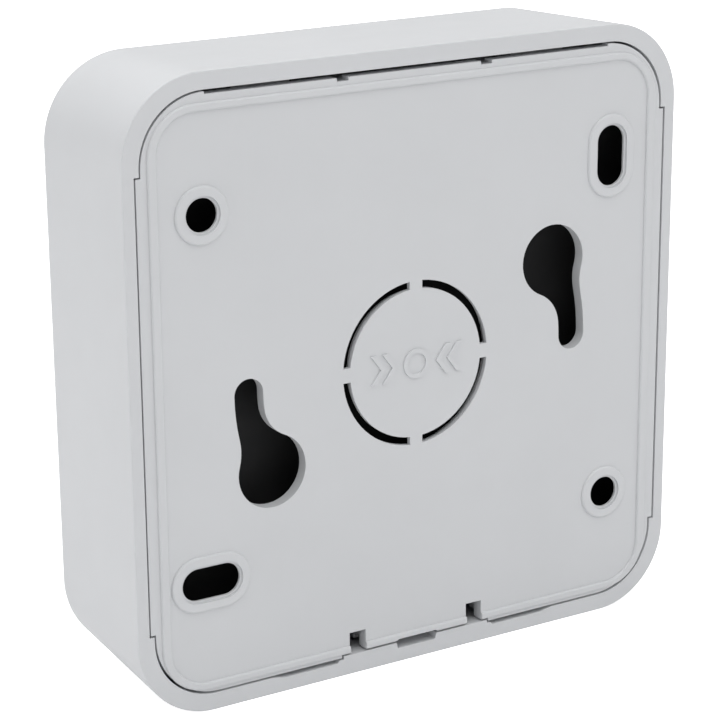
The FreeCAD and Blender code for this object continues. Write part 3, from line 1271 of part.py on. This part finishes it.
def make_press_spring():
    """Round-wire compression spring between the chassis seat and the press plate."""
    coil = doc.addObject("Part::Helix", "press_spring_coil")
    end_room = d.spring_wire + d.spring_end_gap
    length = d.press_rear - d.spring_seat - end_room * 2
    bound(coil, Radius=d.spring_radius, Height=length, Pitch=length / d.spring_turns)
    wire = doc.addObject("Part::Circle", "press_spring_wire")
    bound(wire, Radius=d.spring_wire)
    wire.Placement.Rotation = FreeCAD.Rotation(FreeCAD.Vector(1, 0, 0), 90)
    wire.setExpression("Placement.Base.x", d.spring_radius.text)
    spring = doc.addObject("Part::Sweep", "press_spring")
    spring.Label = "press_spring"
    spring.Sections = [wire]
    spring.Spine = (coil, ["Edge1"])
    spring.Solid = True
    spring.Frenet = True
    return placed(spring, d.spring_x, d.spring_seat + end_room, -d.spring_z, ALONG_Y)


def make_status_led():
    across, up, dome_depth = d.led_x, -d.led_z, BOARD_FRONT + d.led_height
    flange = rod("led_flange", d.led_flange, across, up, BOARD_FRONT, BOARD_FRONT + d.led_flange_height)
    stem = rod("led_stem", d.led_radius, across, up, BOARD_FRONT, dome_depth)
    dome = doc.addObject("Part::Sphere", "led_dome")
    bound(dome, Radius=d.led_radius)
    placed(dome, across, dome_depth, up)
    return fused("status_led", [flange, stem, dome])


def make_light_pipe():
    across, up = d.led_x, -d.led_z
    start = BOARD_FRONT + d.led_height + d.led_radius + d.pipe_led_gap
    shaft = rod("pipe_shaft", d.pipe_radius, across, up, start, d.housing_depth - d.pipe_sink)
    flange = rod("pipe_flange", d.pipe_flange, across, up, CAVITY_FRONT - d.pipe_flange_length,
                 CAVITY_FRONT)
    return fused("light_pipe", [shaft, flange])


def make_resistors():
    """Two identical axial resistors lying on the board."""
    parts = []
    left, right, axis = -d.resistor_left, -d.resistor_right, BOARD_FRONT + d.resistor_lift
    core_start = (left + right - d.resistor_length) / 2
    for i, up in enumerate((d.resistor_first, d.resistor_second)):
        name = "resistor_%d" % i
        core = doc.addObject("Part::Cylinder", name + "_core")
        bound(core, Radius=d.resistor_radius, Height=d.resistor_length)
        placed(core, core_start, axis, up, ALONG_X)
        wire = doc.addObject("Part::Cylinder", name + "_wire")
        bound(wire, Radius=d.resistor_lead, Height=right - left)
        placed(wire, left, axis, up, ALONG_X)
        legs = []
        for side, end in (("left", left), ("right", right)):
            legs.append(rod("%s_leg_%s" % (name, side), d.resistor_lead, end, up, BOARD_FRONT,
                            axis + d.resistor_lead / 2))
        parts.append(fused(name, [core, wire] + legs))
    group = doc.addObject("Part::Compound", "line_resistors")
    group.Links = parts
    group.Label = "line_resistors"
    return group


def make_capacitor():
    can = doc.addObject("Part::Cylinder", "capacitor_can")
    bound(can, Radius=d.capacitor_radius, Height=d.capacitor_height)
    placed(can, -d.capacitor_x, BOARD_FRONT, -d.capacitor_z, ALONG_Y)
    can_edge = doc.addObject("Part::Fillet", "capacitor")
    can_edge.Base = can
    can_edge.Label = "capacitor"
    doc.recompute()
    top = -(BOARD_FRONT + d.capacitor_height).number
    edges = [i for i, edge in enumerate(can.Shape.Edges, start=1)
             if abs(edge.CenterOfMass.y - top) < SAME_PLACE]
    radius = d.capacitor_rounding.number
    can_edge.Edges = [(i, radius, radius) for i in edges]
    return can_edge


# ---- build and export -------------------------------------------------------------

MAKERS = [
    make_base_plate,
    make_front_housing,
    make_chassis,
    make_chassis_screws,
    make_circuit_board,
    make_board_screws,
    make_terminal_block,
    make_terminal_screws,
    make_terminal_clamps,
    make_switch_body,
    make_switch_lever,
    make_switch_plunger,
    make_status_led,
    make_light_pipe,
    make_flag_lens,
    make_resistors,
    make_capacitor,
    make_press_plate,
    make_press_mark,
    make_pivot_pin,
    make_press_spring,
    make_status_flag,
    make_reset_cam,
]


def export(thing):
    if {"Invalid", "Error"} & set(thing.State):
        raise ValueError(thing.Label + " is in state " + str(thing.State))
    if thing.Shape.isNull() or not thing.Shape.isValid():
        raise ValueError(thing.Label + " has no valid shape")
    thing.Shape.exportStep("parts/" + thing.Label + ".step")
    print("%-16s solids %2d volume %10.1f" % (thing.Label, len(thing.Shape.Solids), thing.Shape.Volume))


os.makedirs("parts", exist_ok=True)
finished = [maker() for maker in MAKERS]
doc.recompute()
for part in finished:
    export(part)
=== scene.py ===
import json
import math

import bmesh
import bpy
from mathutils import Matrix, Vector


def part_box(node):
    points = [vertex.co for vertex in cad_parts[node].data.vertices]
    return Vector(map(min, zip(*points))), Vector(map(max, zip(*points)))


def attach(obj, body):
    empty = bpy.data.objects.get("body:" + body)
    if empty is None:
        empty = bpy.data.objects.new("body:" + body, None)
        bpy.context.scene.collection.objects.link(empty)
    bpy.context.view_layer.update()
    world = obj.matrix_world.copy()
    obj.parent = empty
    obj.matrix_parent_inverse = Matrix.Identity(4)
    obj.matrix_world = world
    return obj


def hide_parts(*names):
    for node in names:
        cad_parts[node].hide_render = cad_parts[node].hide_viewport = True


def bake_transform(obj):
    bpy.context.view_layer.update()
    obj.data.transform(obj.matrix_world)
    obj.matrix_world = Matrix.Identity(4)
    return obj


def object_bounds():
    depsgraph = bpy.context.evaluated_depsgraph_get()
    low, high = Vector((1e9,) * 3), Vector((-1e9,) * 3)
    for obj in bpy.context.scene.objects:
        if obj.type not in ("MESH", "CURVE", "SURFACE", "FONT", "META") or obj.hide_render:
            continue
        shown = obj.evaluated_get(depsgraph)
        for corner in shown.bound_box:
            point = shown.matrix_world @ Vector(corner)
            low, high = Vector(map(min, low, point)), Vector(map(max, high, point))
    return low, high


# Looks of the manual call point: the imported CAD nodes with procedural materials, plus fine
# pieces that ride on its bodies. Metres, +Z up, the wall on the +Y side.

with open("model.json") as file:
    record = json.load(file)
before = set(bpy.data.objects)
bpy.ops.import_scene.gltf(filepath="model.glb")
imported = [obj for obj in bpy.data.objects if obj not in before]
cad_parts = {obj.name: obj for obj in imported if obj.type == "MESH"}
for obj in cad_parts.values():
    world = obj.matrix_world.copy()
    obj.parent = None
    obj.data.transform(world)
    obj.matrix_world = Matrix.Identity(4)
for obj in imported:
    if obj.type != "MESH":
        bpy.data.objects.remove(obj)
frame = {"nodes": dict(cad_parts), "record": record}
cad_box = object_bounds()
NODES = frame["nodes"]
MM = 0.001


# ---- node tree helpers ------------------------------------------------------------

class Shader:
    """A material whose nodes all read object coordinates."""

    def __init__(self, name):
        self.material = bpy.data.materials.new(name)
        self.material.use_nodes = True
        self.tree = self.material.node_tree
        self.tree.nodes.clear()
        self.output = self.add("ShaderNodeOutputMaterial")
        self.surface = self.add("ShaderNodeBsdfPrincipled")
        self.link(self.surface.outputs["BSDF"], self.output.inputs["Surface"])
        self.coordinates = self.add("ShaderNodeTexCoord").outputs["Object"]

    def add(self, kind, **values):
        node = self.tree.nodes.new(kind)
        for name, value in values.items():
            setattr(node, name, value)
        return node

    def link(self, source, target):
        self.tree.links.new(source, target)

    def set(self, name, value):
        self.surface.inputs[name].default_value = value

    def noise(self, size, detail=2.0, roughness=0.5, stretch=(1, 1, 1)):
        """Noise whose features are about size metres wide."""
        mapping = self.add("ShaderNodeMapping")
        mapping.inputs["Scale"].default_value = [s / size for s in stretch]
        self.link(self.coordinates, mapping.inputs["Vector"])
        node = self.add("ShaderNodeTexNoise")
        node.inputs["Scale"].default_value = 1.0
        node.inputs["Detail"].default_value = detail
        node.inputs["Roughness"].default_value = roughness
        self.link(mapping.outputs["Vector"], node.inputs["Vector"])
        return node.outputs["Fac"]

    def ramp(self, source, *stops):
        """Colour or grey ramp; stops are (position, value or colour)."""
        node = self.add("ShaderNodeValToRGB")
        elements = node.color_ramp.elements
        while len(elements) < len(stops):
            elements.new(0.5)
        for element, (position, colour) in zip(elements, stops):
            element.position = position
            if not hasattr(colour, "__len__"):
                colour = (colour, colour, colour)
            element.color = (*colour[:3], 1.0)
        self.link(source, node.inputs["Fac"])
        return node.outputs["Color"]

    def mix(self, factor, first, second, blend="MIX"):
        node = self.add("ShaderNodeMix", data_type="RGBA", blend_type=blend)
        for socket, value in ((node.inputs[0], factor), (node.inputs[6], first), (node.inputs[7], second)):
            if hasattr(value, "links"):
                self.link(value, socket)
            elif hasattr(value, "__len__"):
                socket.default_value = (*value[:3], 1.0)
            else:
                socket.default_value = value
        return node.outputs[2]

    def math(self, operation, first, second=0.0):
        node = self.add("ShaderNodeMath", operation=operation)
        for socket, value in ((node.inputs[0], first), (node.inputs[1], second)):
            if hasattr(value, "links"):
                self.link(value, socket)
            else:
                socket.default_value = value
        return node.outputs[0]

    def spot(self, place, reach):
        """1 at a place, falling smoothly to 0 at reach (metres along each axis) from it."""
        mapping = self.add("ShaderNodeMapping", vector_type="TEXTURE")
        mapping.inputs["Location"].default_value = place
        mapping.inputs["Scale"].default_value = reach
        self.link(self.coordinates, mapping.inputs["Vector"])
        ball = self.add("ShaderNodeTexGradient", gradient_type="SPHERICAL")
        self.link(mapping.outputs["Vector"], ball.inputs["Vector"])
        smooth = self.add("ShaderNodeMapRange", interpolation_type="SMOOTHSTEP")
        self.link(ball.outputs["Fac"], smooth.inputs["Value"])
        return smooth.outputs["Result"]

    def bump(self, *layers):
        """Stack bump maps; each layer is (height, distance in metres, strength)."""
        normal = None
        for height, distance, strength in layers:
            node = self.add("ShaderNodeBump")
            node.inputs["Distance"].default_value = distance
            node.inputs["Strength"].default_value = strength
            self.link(height, node.inputs["Height"])
            if normal:
                self.link(normal, node.inputs["Normal"])
            normal = node.outputs["Normal"]
        self.link(normal, self.surface.inputs["Normal"])

    def colour(self, source):
        self.link(source, self.surface.inputs["Base Color"])

    def roughness(self, source):
        self.link(source, self.surface.inputs["Roughness"])


def moulded_plastic(name, colour, shade=0.03, rough=(0.42, 0.5), grain=0.00022, relief=0.000012,
                    specular=0.5, flow=0.02, marks=()):
    """Injection-moulded plastic: spark-eroded grain, faint flow marks and slight gloss changes.

    Each mark is (place, reach, height): a faint bulge, or a dip where the height is negative.
    """
    s = Shader(name)
    dark = [c * (1 - shade) for c in colour]
    light = [min(1.0, c * (1 + shade)) for c in colour]
    clouds = s.noise(flow, detail=3.0)
    s.colour(s.ramp(clouds, (0.3, dark), (0.7, light)))
    s.roughness(s.ramp(s.noise(flow * 0.4, detail=4.0), (0.35, rough[0]), (0.65, rough[1])))
    layers = [(s.noise(grain, detail=2.0), relief, 1.0), (s.noise(flow * 0.6, detail=1.0), relief * 6, 0.25)]
    for place, reach, height in marks:
        spot = s.spot(place, reach)
        if height < 0:
            spot = s.math("SUBTRACT", 1.0, spot)
        layers.append((spot, abs(height), 1.0))
    s.bump(*layers)
    s.set("Specular IOR Level", specular)
    return s.material


def brushed_metal(name, colour, rough=(0.22, 0.38), along=(1, 1, 0.05), grain=0.0003):
    s = Shader(name)
    lines = s.noise(grain, detail=3.0, stretch=along)
    s.colour(s.ramp(lines, (0.3, [c * 0.85 for c in colour]), (0.7, colour)))
    s.roughness(s.ramp(s.noise(0.002, detail=3.0), (0.35, rough[0]), (0.65, rough[1])))
    s.bump((lines, 0.000006, 0.6))
    s.set("Metallic", 1.0)
    return s.material


def board_material():
    """Green solder mask with tracks and round pads showing through it."""
    s = Shader("board_mask")
    cell = 4.2 * MM
    flat = s.add("ShaderNodeMapping")
    flat.inputs["Rotation"].default_value = (math.pi / 2, 0, 0)
    s.link(s.coordinates, flat.inputs["Vector"])
    distances = []
    for feature in ("F2", "F1"):
        cells = s.add("ShaderNodeTexVoronoi", feature=feature, distance="MANHATTAN",
                      voronoi_dimensions="2D")
        cells.inputs["Scale"].default_value = 1 / cell
        cells.inputs["Randomness"].default_value = 0.85
        s.link(flat.outputs["Vector"], cells.inputs["Vector"])
        distances.append(cells.outputs["Distance"])
    between = s.math("SUBTRACT", *distances)
    pads = s.ramp(distances[1], (0.09, 1.0), (0.11, 0.0))
    tracks = s.math("MAXIMUM", s.ramp(between, (0.05, 1.0), (0.07, 0.0)), pads)
    mask = s.ramp(s.noise(0.004), (0.3, (0.010, 0.115, 0.05)), (0.7, (0.014, 0.145, 0.062)))
    s.colour(s.mix(tracks, mask, (0.03, 0.24, 0.10)))
    s.roughness(s.ramp(s.noise(0.0008), (0.4, 0.24), (0.6, 0.34)))
    s.bump((tracks, 0.00003, 0.5), (s.noise(0.0004), 0.00001, 0.6))
    return s.material


def clear_plastic(name, tint):
    s = Shader(name)
    s.set("Transmission Weight", 1.0)
    s.set("IOR", 1.58)
    s.colour(s.ramp(s.noise(0.01), (0.3, [c * 0.97 for c in tint]), (0.7, tint)))
    s.roughness(s.ramp(s.noise(0.003), (0.4, 0.03), (0.6, 0.09)))
    s.bump((s.noise(0.004), 0.00001, 0.4))
    return s.material


MARK_DEPTH = 0.4 * MM        # how far a mark's middle lies under the face it shows on


def housing_marks():
    """Sink marks in the top face, over the ribs that the hooks hold."""
    across, behind, reach = 24.5 * MM, -7 * MM, (5 * MM, 2 * MM, 4 * MM)
    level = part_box("front_housing")[1].z - MARK_DEPTH
    return [((side * across, behind, level), reach, -0.05 * MM) for side in (1, -1)]


def plate_marks():
    """The trace of a rib behind the base plate, beside one fixing hole."""
    across, up, reach = 28.8 * MM, 31 * MM, (0.7 * MM, 3 * MM, 14 * MM)
    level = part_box("base_plate")[1].y - MARK_DEPTH
    return [((across, level, up), reach, 0.02 * MM)]


WHITE = {"colour": (0.60, 0.61, 0.625), "shade": 0.012, "rough": (0.40, 0.47)}
MATERIALS = {
    "white_abs": moulded_plastic("white_abs", marks=housing_marks(), **WHITE),
    "press_white": moulded_plastic("press_white", (0.70, 0.70, 0.69), shade=0.012, rough=(0.33, 0.40)),
    "black_abs": moulded_plastic("black_abs", (0.018, 0.018, 0.019), shade=0.15, rough=(0.6, 0.75),
                                 specular=0.3),
    "black_mark": moulded_plastic("black_mark", (0.008, 0.008, 0.009), shade=0.1, rough=(0.35, 0.45)),
    "terminal_green": moulded_plastic("terminal_green", (0.02, 0.19, 0.05), shade=0.08, rough=(0.4, 0.55)),
    "switch_black": moulded_plastic("switch_black", (0.012, 0.012, 0.014), shade=0.1),
    "switch_red": moulded_plastic("switch_red", (0.42, 0.015, 0.01), shade=0.08),
    "led_red": clear_plastic("led_red", (0.8, 0.04, 0.03)),
    "clear_pc": clear_plastic("clear_pc", (0.95, 0.97, 0.98)),
    "resistor": moulded_plastic("resistor", (0.50, 0.33, 0.17), shade=0.1, grain=0.0004),
    "capacitor": moulded_plastic("capacitor", (0.01, 0.014, 0.05), shade=0.1, rough=(0.2, 0.3)),
    "flag_yellow": moulded_plastic("flag_yellow", (0.92, 0.62, 0.015), shade=0.04),
    "cam_grey": moulded_plastic("cam_grey", (0.03, 0.03, 0.032), shade=0.1),
    "zinc_steel": brushed_metal("zinc_steel", (0.62, 0.64, 0.68)),
    "pin_steel": brushed_metal("pin_steel", (0.60, 0.61, 0.63), rough=(0.15, 0.25), along=(0.05, 1, 1)),
    "spring_steel": brushed_metal("spring_steel", (0.42, 0.43, 0.45), along=(1, 1, 1)),
    "tin_brass": brushed_metal("tin_brass", (0.72, 0.58, 0.30)),
    "board": board_material(),
}


def dress_nodes():
    """Give every CAD node the material of its slot; the base plate has marks of its own."""
    slots = {part["node"]: part["material_slot"] for part in frame["record"]["subparts"]}
    own = {"base_plate": moulded_plastic("white_abs_plate", marks=plate_marks(), **WHITE)}
    for name, node in NODES.items():
        node.data.materials.clear()
        node.data.materials.append(own.get(name, MATERIALS[slots[name]]))


# ---- parts on the circuit board ---------------------------------------------------

BOARD_LOW, BOARD_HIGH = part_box("circuit_board")
BOARD_FRONT = BOARD_LOW.y        # the face that looks to the front, -Y


def new_piece(name, build, slot, bevel=0.0, round_over=None):
    """Turn a bmesh into a piece. Edges flatter than the angle round_over look smooth."""
    bmesh.ops.recalc_face_normals(build, faces=build.faces)
    mesh = bpy.data.meshes.new(name)
    build.to_mesh(mesh)
    build.free()
    piece = bpy.data.objects.new(name, mesh)
    bpy.context.scene.collection.objects.link(piece)
    if bevel:
        modifier = piece.modifiers.new("edges", "BEVEL")
        modifier.width = bevel
        modifier.segments = 2
    if round_over:
        mesh.shade_smooth()
        mesh.set_sharp_from_angle(angle=round_over)
    mesh.materials.append(MATERIALS[slot])
    return piece


def add_block(build, centre, size):
    place = Matrix.Translation(centre) @ Matrix.Diagonal((*size, 1.0))
    bmesh.ops.create_cube(build, size=1.0, matrix=place)


def add_ring(build, sides, place):
    """A ring of vertices; place gives the position at an angle."""
    return [build.verts.new(place(2 * math.pi * i / sides)) for i in range(sides)]


def add_skin(build, rings):
    """Join a row of rings with faces and close both ends."""
    sides = len(rings[0])
    for near, far in zip(rings, rings[1:]):
        for i in range(sides):
            after = (i + 1) % sides
            build.faces.new((near[i], near[after], far[after], far[i]))
    build.faces.new(rings[0])
    build.faces.new(rings[-1])


def add_lathe(build, centre, profile, towards):
    """Turn a profile of (radius, height) round the Y axis; towards is -1 for the front."""
    sides = 16
    rings = []
    for radius, height in profile:
        rings.append(add_ring(build, sides, lambda angle: centre + Vector(
            (radius * math.cos(angle), towards * height, radius * math.sin(angle)))))
    add_skin(build, rings)


def make_chips():
    """Two small-outline circuits with their bent legs."""
    cases, legs = bmesh.new(), bmesh.new()
    pitch, case_depth, case_height, lift = 1.27 * MM, 3.9 * MM, 1.3 * MM, 0.12 * MM
    leg_width, sheet, foot, knee = 0.42 * MM, 0.2 * MM, 0.7 * MM, 0.5 * MM
    middle = BOARD_FRONT - lift - case_height / 2
    # across, up, pins on each side
    for x, z, pins in ((6.5 * MM, 13 * MM, 7), (-8 * MM, 12 * MM, 4)):
        add_block(cases, Vector((x, middle, z)), (pins * pitch, case_height, case_depth))
        for i in range(pins):
            along = x + pitch * (i - (pins - 1) / 2)
            for side in (1, -1):
                edge = z + side * case_depth / 2
                bend = edge + side * knee
                add_block(legs, Vector((along, middle, edge + side * knee / 2)), (leg_width, sheet, knee))
                add_block(legs, Vector((along, (middle + BOARD_FRONT) / 2, bend)),
                          (leg_width, BOARD_FRONT - middle + sheet, sheet))
                add_block(legs, Vector((along, BOARD_FRONT - sheet / 2, bend + side * foot / 2)),
                          (leg_width, sheet, foot))
    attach(new_piece("board_chips", cases, "switch_black", bevel=0.12 * MM), "housing")
    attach(new_piece("board_chip_legs", legs, "zinc_steel", bevel=0.04 * MM), "housing")


def make_chip_resistors():
    """Rows of surface-mounted resistors with bright end caps, which stand a little proud."""
    bodies, caps = bmesh.new(), bmesh.new()
    length, width, height, cap = 2.0 * MM, 1.25 * MM, 0.5 * MM, 0.35 * MM
    first, spacing, shift = -8 * MM, 4 * MM, 1 * MM
    body_size = (length - cap, height * 0.94, width * 0.98)
    middle = BOARD_FRONT - height / 2
    for row, z in enumerate((5 * MM, 1.5 * MM)):
        for column in range(5):
            x = first + spacing * column + shift * row
            add_block(bodies, Vector((x, middle, z)), body_size)
            for side in (1, -1):
                add_block(caps, Vector((x + side * (length - cap) / 2, middle, z)), (cap, height, width))
    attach(new_piece("chip_resistors", bodies, "switch_black", bevel=0.03 * MM), "housing")
    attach(new_piece("chip_resistor_caps", caps, "zinc_steel", bevel=0.04 * MM), "housing")


def make_solder():
    """Solder cones with a pin in each, on the side of the board away from the part they hold."""
    build = bmesh.new()
    # radius and height over the board, in millimetres
    cone = [(radius * MM, height * MM) for radius, height in (
        (0.95, -0.05), (0.9, 0.03), (0.6, 0.2), (0.42, 0.5), (0.33, 0.85), (0.3, 1.1), (0.2, 1.2))]
    block_low, block_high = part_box("terminal_block")
    terminals = 4
    step = (block_high.x - block_low.x) / terminals
    row = (block_low.z + block_high.z) / 2
    for i in range(terminals):
        add_lathe(build, Vector((block_low.x + step * (i + 0.5), BOARD_FRONT, row)), cone, -1)
    lead, body_radius, half_pitch = 0.3 * MM, 1.15 * MM, 1.27 * MM
    low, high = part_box("line_resistors")
    rear_places = [(x, z) for x in (low.x + lead, high.x - lead)
                   for z in (low.z + body_radius, high.z - body_radius)]
    for node in ("status_led", "capacitor"):
        low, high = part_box(node)
        middle = (low + high) / 2
        rear_places += [(middle.x - half_pitch, middle.z), (middle.x + half_pitch, middle.z)]
    for x, z in rear_places:
        add_lathe(build, Vector((x, BOARD_HIGH.y, z)), cone, 1)
    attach(new_piece("solder_joints", build, "zinc_steel", round_over=math.radians(50)), "housing")


# ---- the press spring, a coil in the place of the CAD node -------------------------

def make_press_spring():
    """A coil with closed ends, built to the length of the CAD spring node, which it hides."""
    low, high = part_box("press_spring")
    middle = (low + high) / 2
    wire, turns = 0.3 * MM, 5.6
    closed = 0.8                    # turns that lie closed at each end
    closed_pitch = 2.05 * wire
    opened = turns - 2 * closed
    open_pitch = (high.y - low.y - 2 * wire - 2 * closed * closed_pitch) / opened
    radius = (high.x - low.x) / 2 - wire
    forward = Vector((0, -1, 0))
    steps_per_turn, sides = 36, 10
    steps = round(turns * steps_per_turn)
    build = bmesh.new()
    rings = []
    for step in range(steps + 1):
        turned = turns * step / steps
        passed = min(max(turned - closed, 0), opened)       # open turns so far
        rise = (turned - passed) * closed_pitch + passed * open_pitch
        angle = 2 * math.pi * turned
        outward = Vector((math.cos(angle), 0, math.sin(angle)))
        centre = Vector((middle.x, high.y - wire - rise, middle.z)) + outward * radius
        rings.append(add_ring(build, sides, lambda around: centre + (
            outward * math.cos(around) + forward * math.sin(around)) * wire))
    add_skin(build, rings)
    spring = new_piece("press_coil", build, "spring_steel", round_over=math.radians(60))
    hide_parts("press_spring")
    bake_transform(spring)


# ---- stage ------------------------------------------------------------------------

WORLD = 0.47             # light from all round
WORLD_SEEN = 1.05        # how bright the sweep looks to the camera
FLOOR_GLOW = 0.06        # light that the floor gives off
FLOOR_SEEN = 0.75        # how bright it looks to the camera
LIGHT_DISTANCE = 0.9
# name, direction from the object, side in metres, power in watts
SOFTBOXES = [
    ("top", (0.05, -0.5, 1.0), 0.8, 3.5),
    ("back", (0.1, 0.45, 1.0), 0.7, 3.8),
    ("right", (-0.75, 0.62, 0.45), 0.5, 0.85),
    ("left", (1.0, -0.25, 0.2), 0.7, 1.65),
]


def camera_or_light(tree, seen, given):
    """A strength that differs between what the camera sees and the light that is given."""
    path = tree.nodes.new("ShaderNodeLightPath")
    strength = tree.nodes.new("ShaderNodeMapRange")
    strength.inputs["To Min"].default_value = given
    strength.inputs["To Max"].default_value = seen
    tree.links.new(path.outputs["Is Camera Ray"], strength.inputs["Value"])
    return strength.outputs["Result"]


def make_floor():
    low, high = cad_box
    mesh = bpy.data.meshes.new("floor")
    build = bmesh.new()
    bmesh.ops.create_grid(build, x_segments=1, y_segments=1, size=4.0)
    build.to_mesh(mesh)
    build.free()
    floor = bpy.data.objects.new("floor", mesh)
    bpy.context.scene.collection.objects.link(floor)
    floor.location = ((low.x + high.x) / 2, (low.y + high.y) / 2, low.z)
    s = Shader("floor")
    s.colour(s.ramp(s.noise(0.3), (0.3, (0.88, 0.88, 0.885)), (0.7, (0.9, 0.9, 0.905))))
    s.set("Roughness", 0.9)
    s.set("Emission Color", (1.0, 1.0, 1.0, 1.0))
    s.link(camera_or_light(s.tree, FLOOR_SEEN, FLOOR_GLOW), s.surface.inputs["Emission Strength"])
    mesh.materials.append(s.material)


def make_lights():
    """A white sweep that the camera sees at full brightness, with softboxes round the object."""
    world = bpy.data.worlds.new("studio")
    world.use_nodes = True
    bpy.context.scene.world = world
    tree = world.node_tree
    background = tree.nodes["Background"]
    background.inputs["Color"].default_value = (1.0, 1.0, 1.0, 1.0)
    tree.links.new(camera_or_light(tree, WORLD_SEEN, WORLD), background.inputs["Strength"])
    for name, direction, side, power in SOFTBOXES:
        data = bpy.data.lights.new(name, "AREA")
        data.size = side
        data.energy = power
        light = bpy.data.objects.new(name, data)
        bpy.context.scene.collection.objects.link(light)
        place = Vector(direction).normalized()
        light.location = place * LIGHT_DISTANCE
        light.rotation_mode = "QUATERNION"
        light.rotation_quaternion = (-place).to_track_quat("-Z", "Y")


def make_camera():
    """The view from behind and slightly above, turned towards the +X side."""
    azimuth, elevation, roll = math.radians(148.517), math.radians(16.964), math.radians(-0.446)
    distance, target = 378.8 * MM, Vector((10.44, -0.2, 2.29)) * MM
    back = Vector((math.sin(azimuth) * math.cos(elevation), -math.cos(azimuth) * math.cos(elevation),
                   math.sin(elevation)))
    right = (-back).cross(Vector((0, 0, 1))).normalized()
    up = right.cross(-back)
    turned_right = right * math.cos(roll) + up * math.sin(roll)
    turned_up = up * math.cos(roll) - right * math.sin(roll)
    data = bpy.data.cameras.new("camera")
    data.lens = 122.69
    data.sensor_width = 36.0
    data.clip_start = 0.01
    camera = bpy.data.objects.new("camera", data)
    bpy.context.scene.collection.objects.link(camera)
    axes = Matrix((turned_right, turned_up, back)).transposed().to_4x4()
    camera.matrix_world = Matrix.Translation(target + back * distance) @ axes
    bpy.context.scene.camera = camera


dress_nodes()
make_chips()
make_chip_resistors()
make_solder()
make_press_spring()
make_floor()
make_lights()
make_camera()
bpy.context.scene.view_settings.view_transform = "Standard"
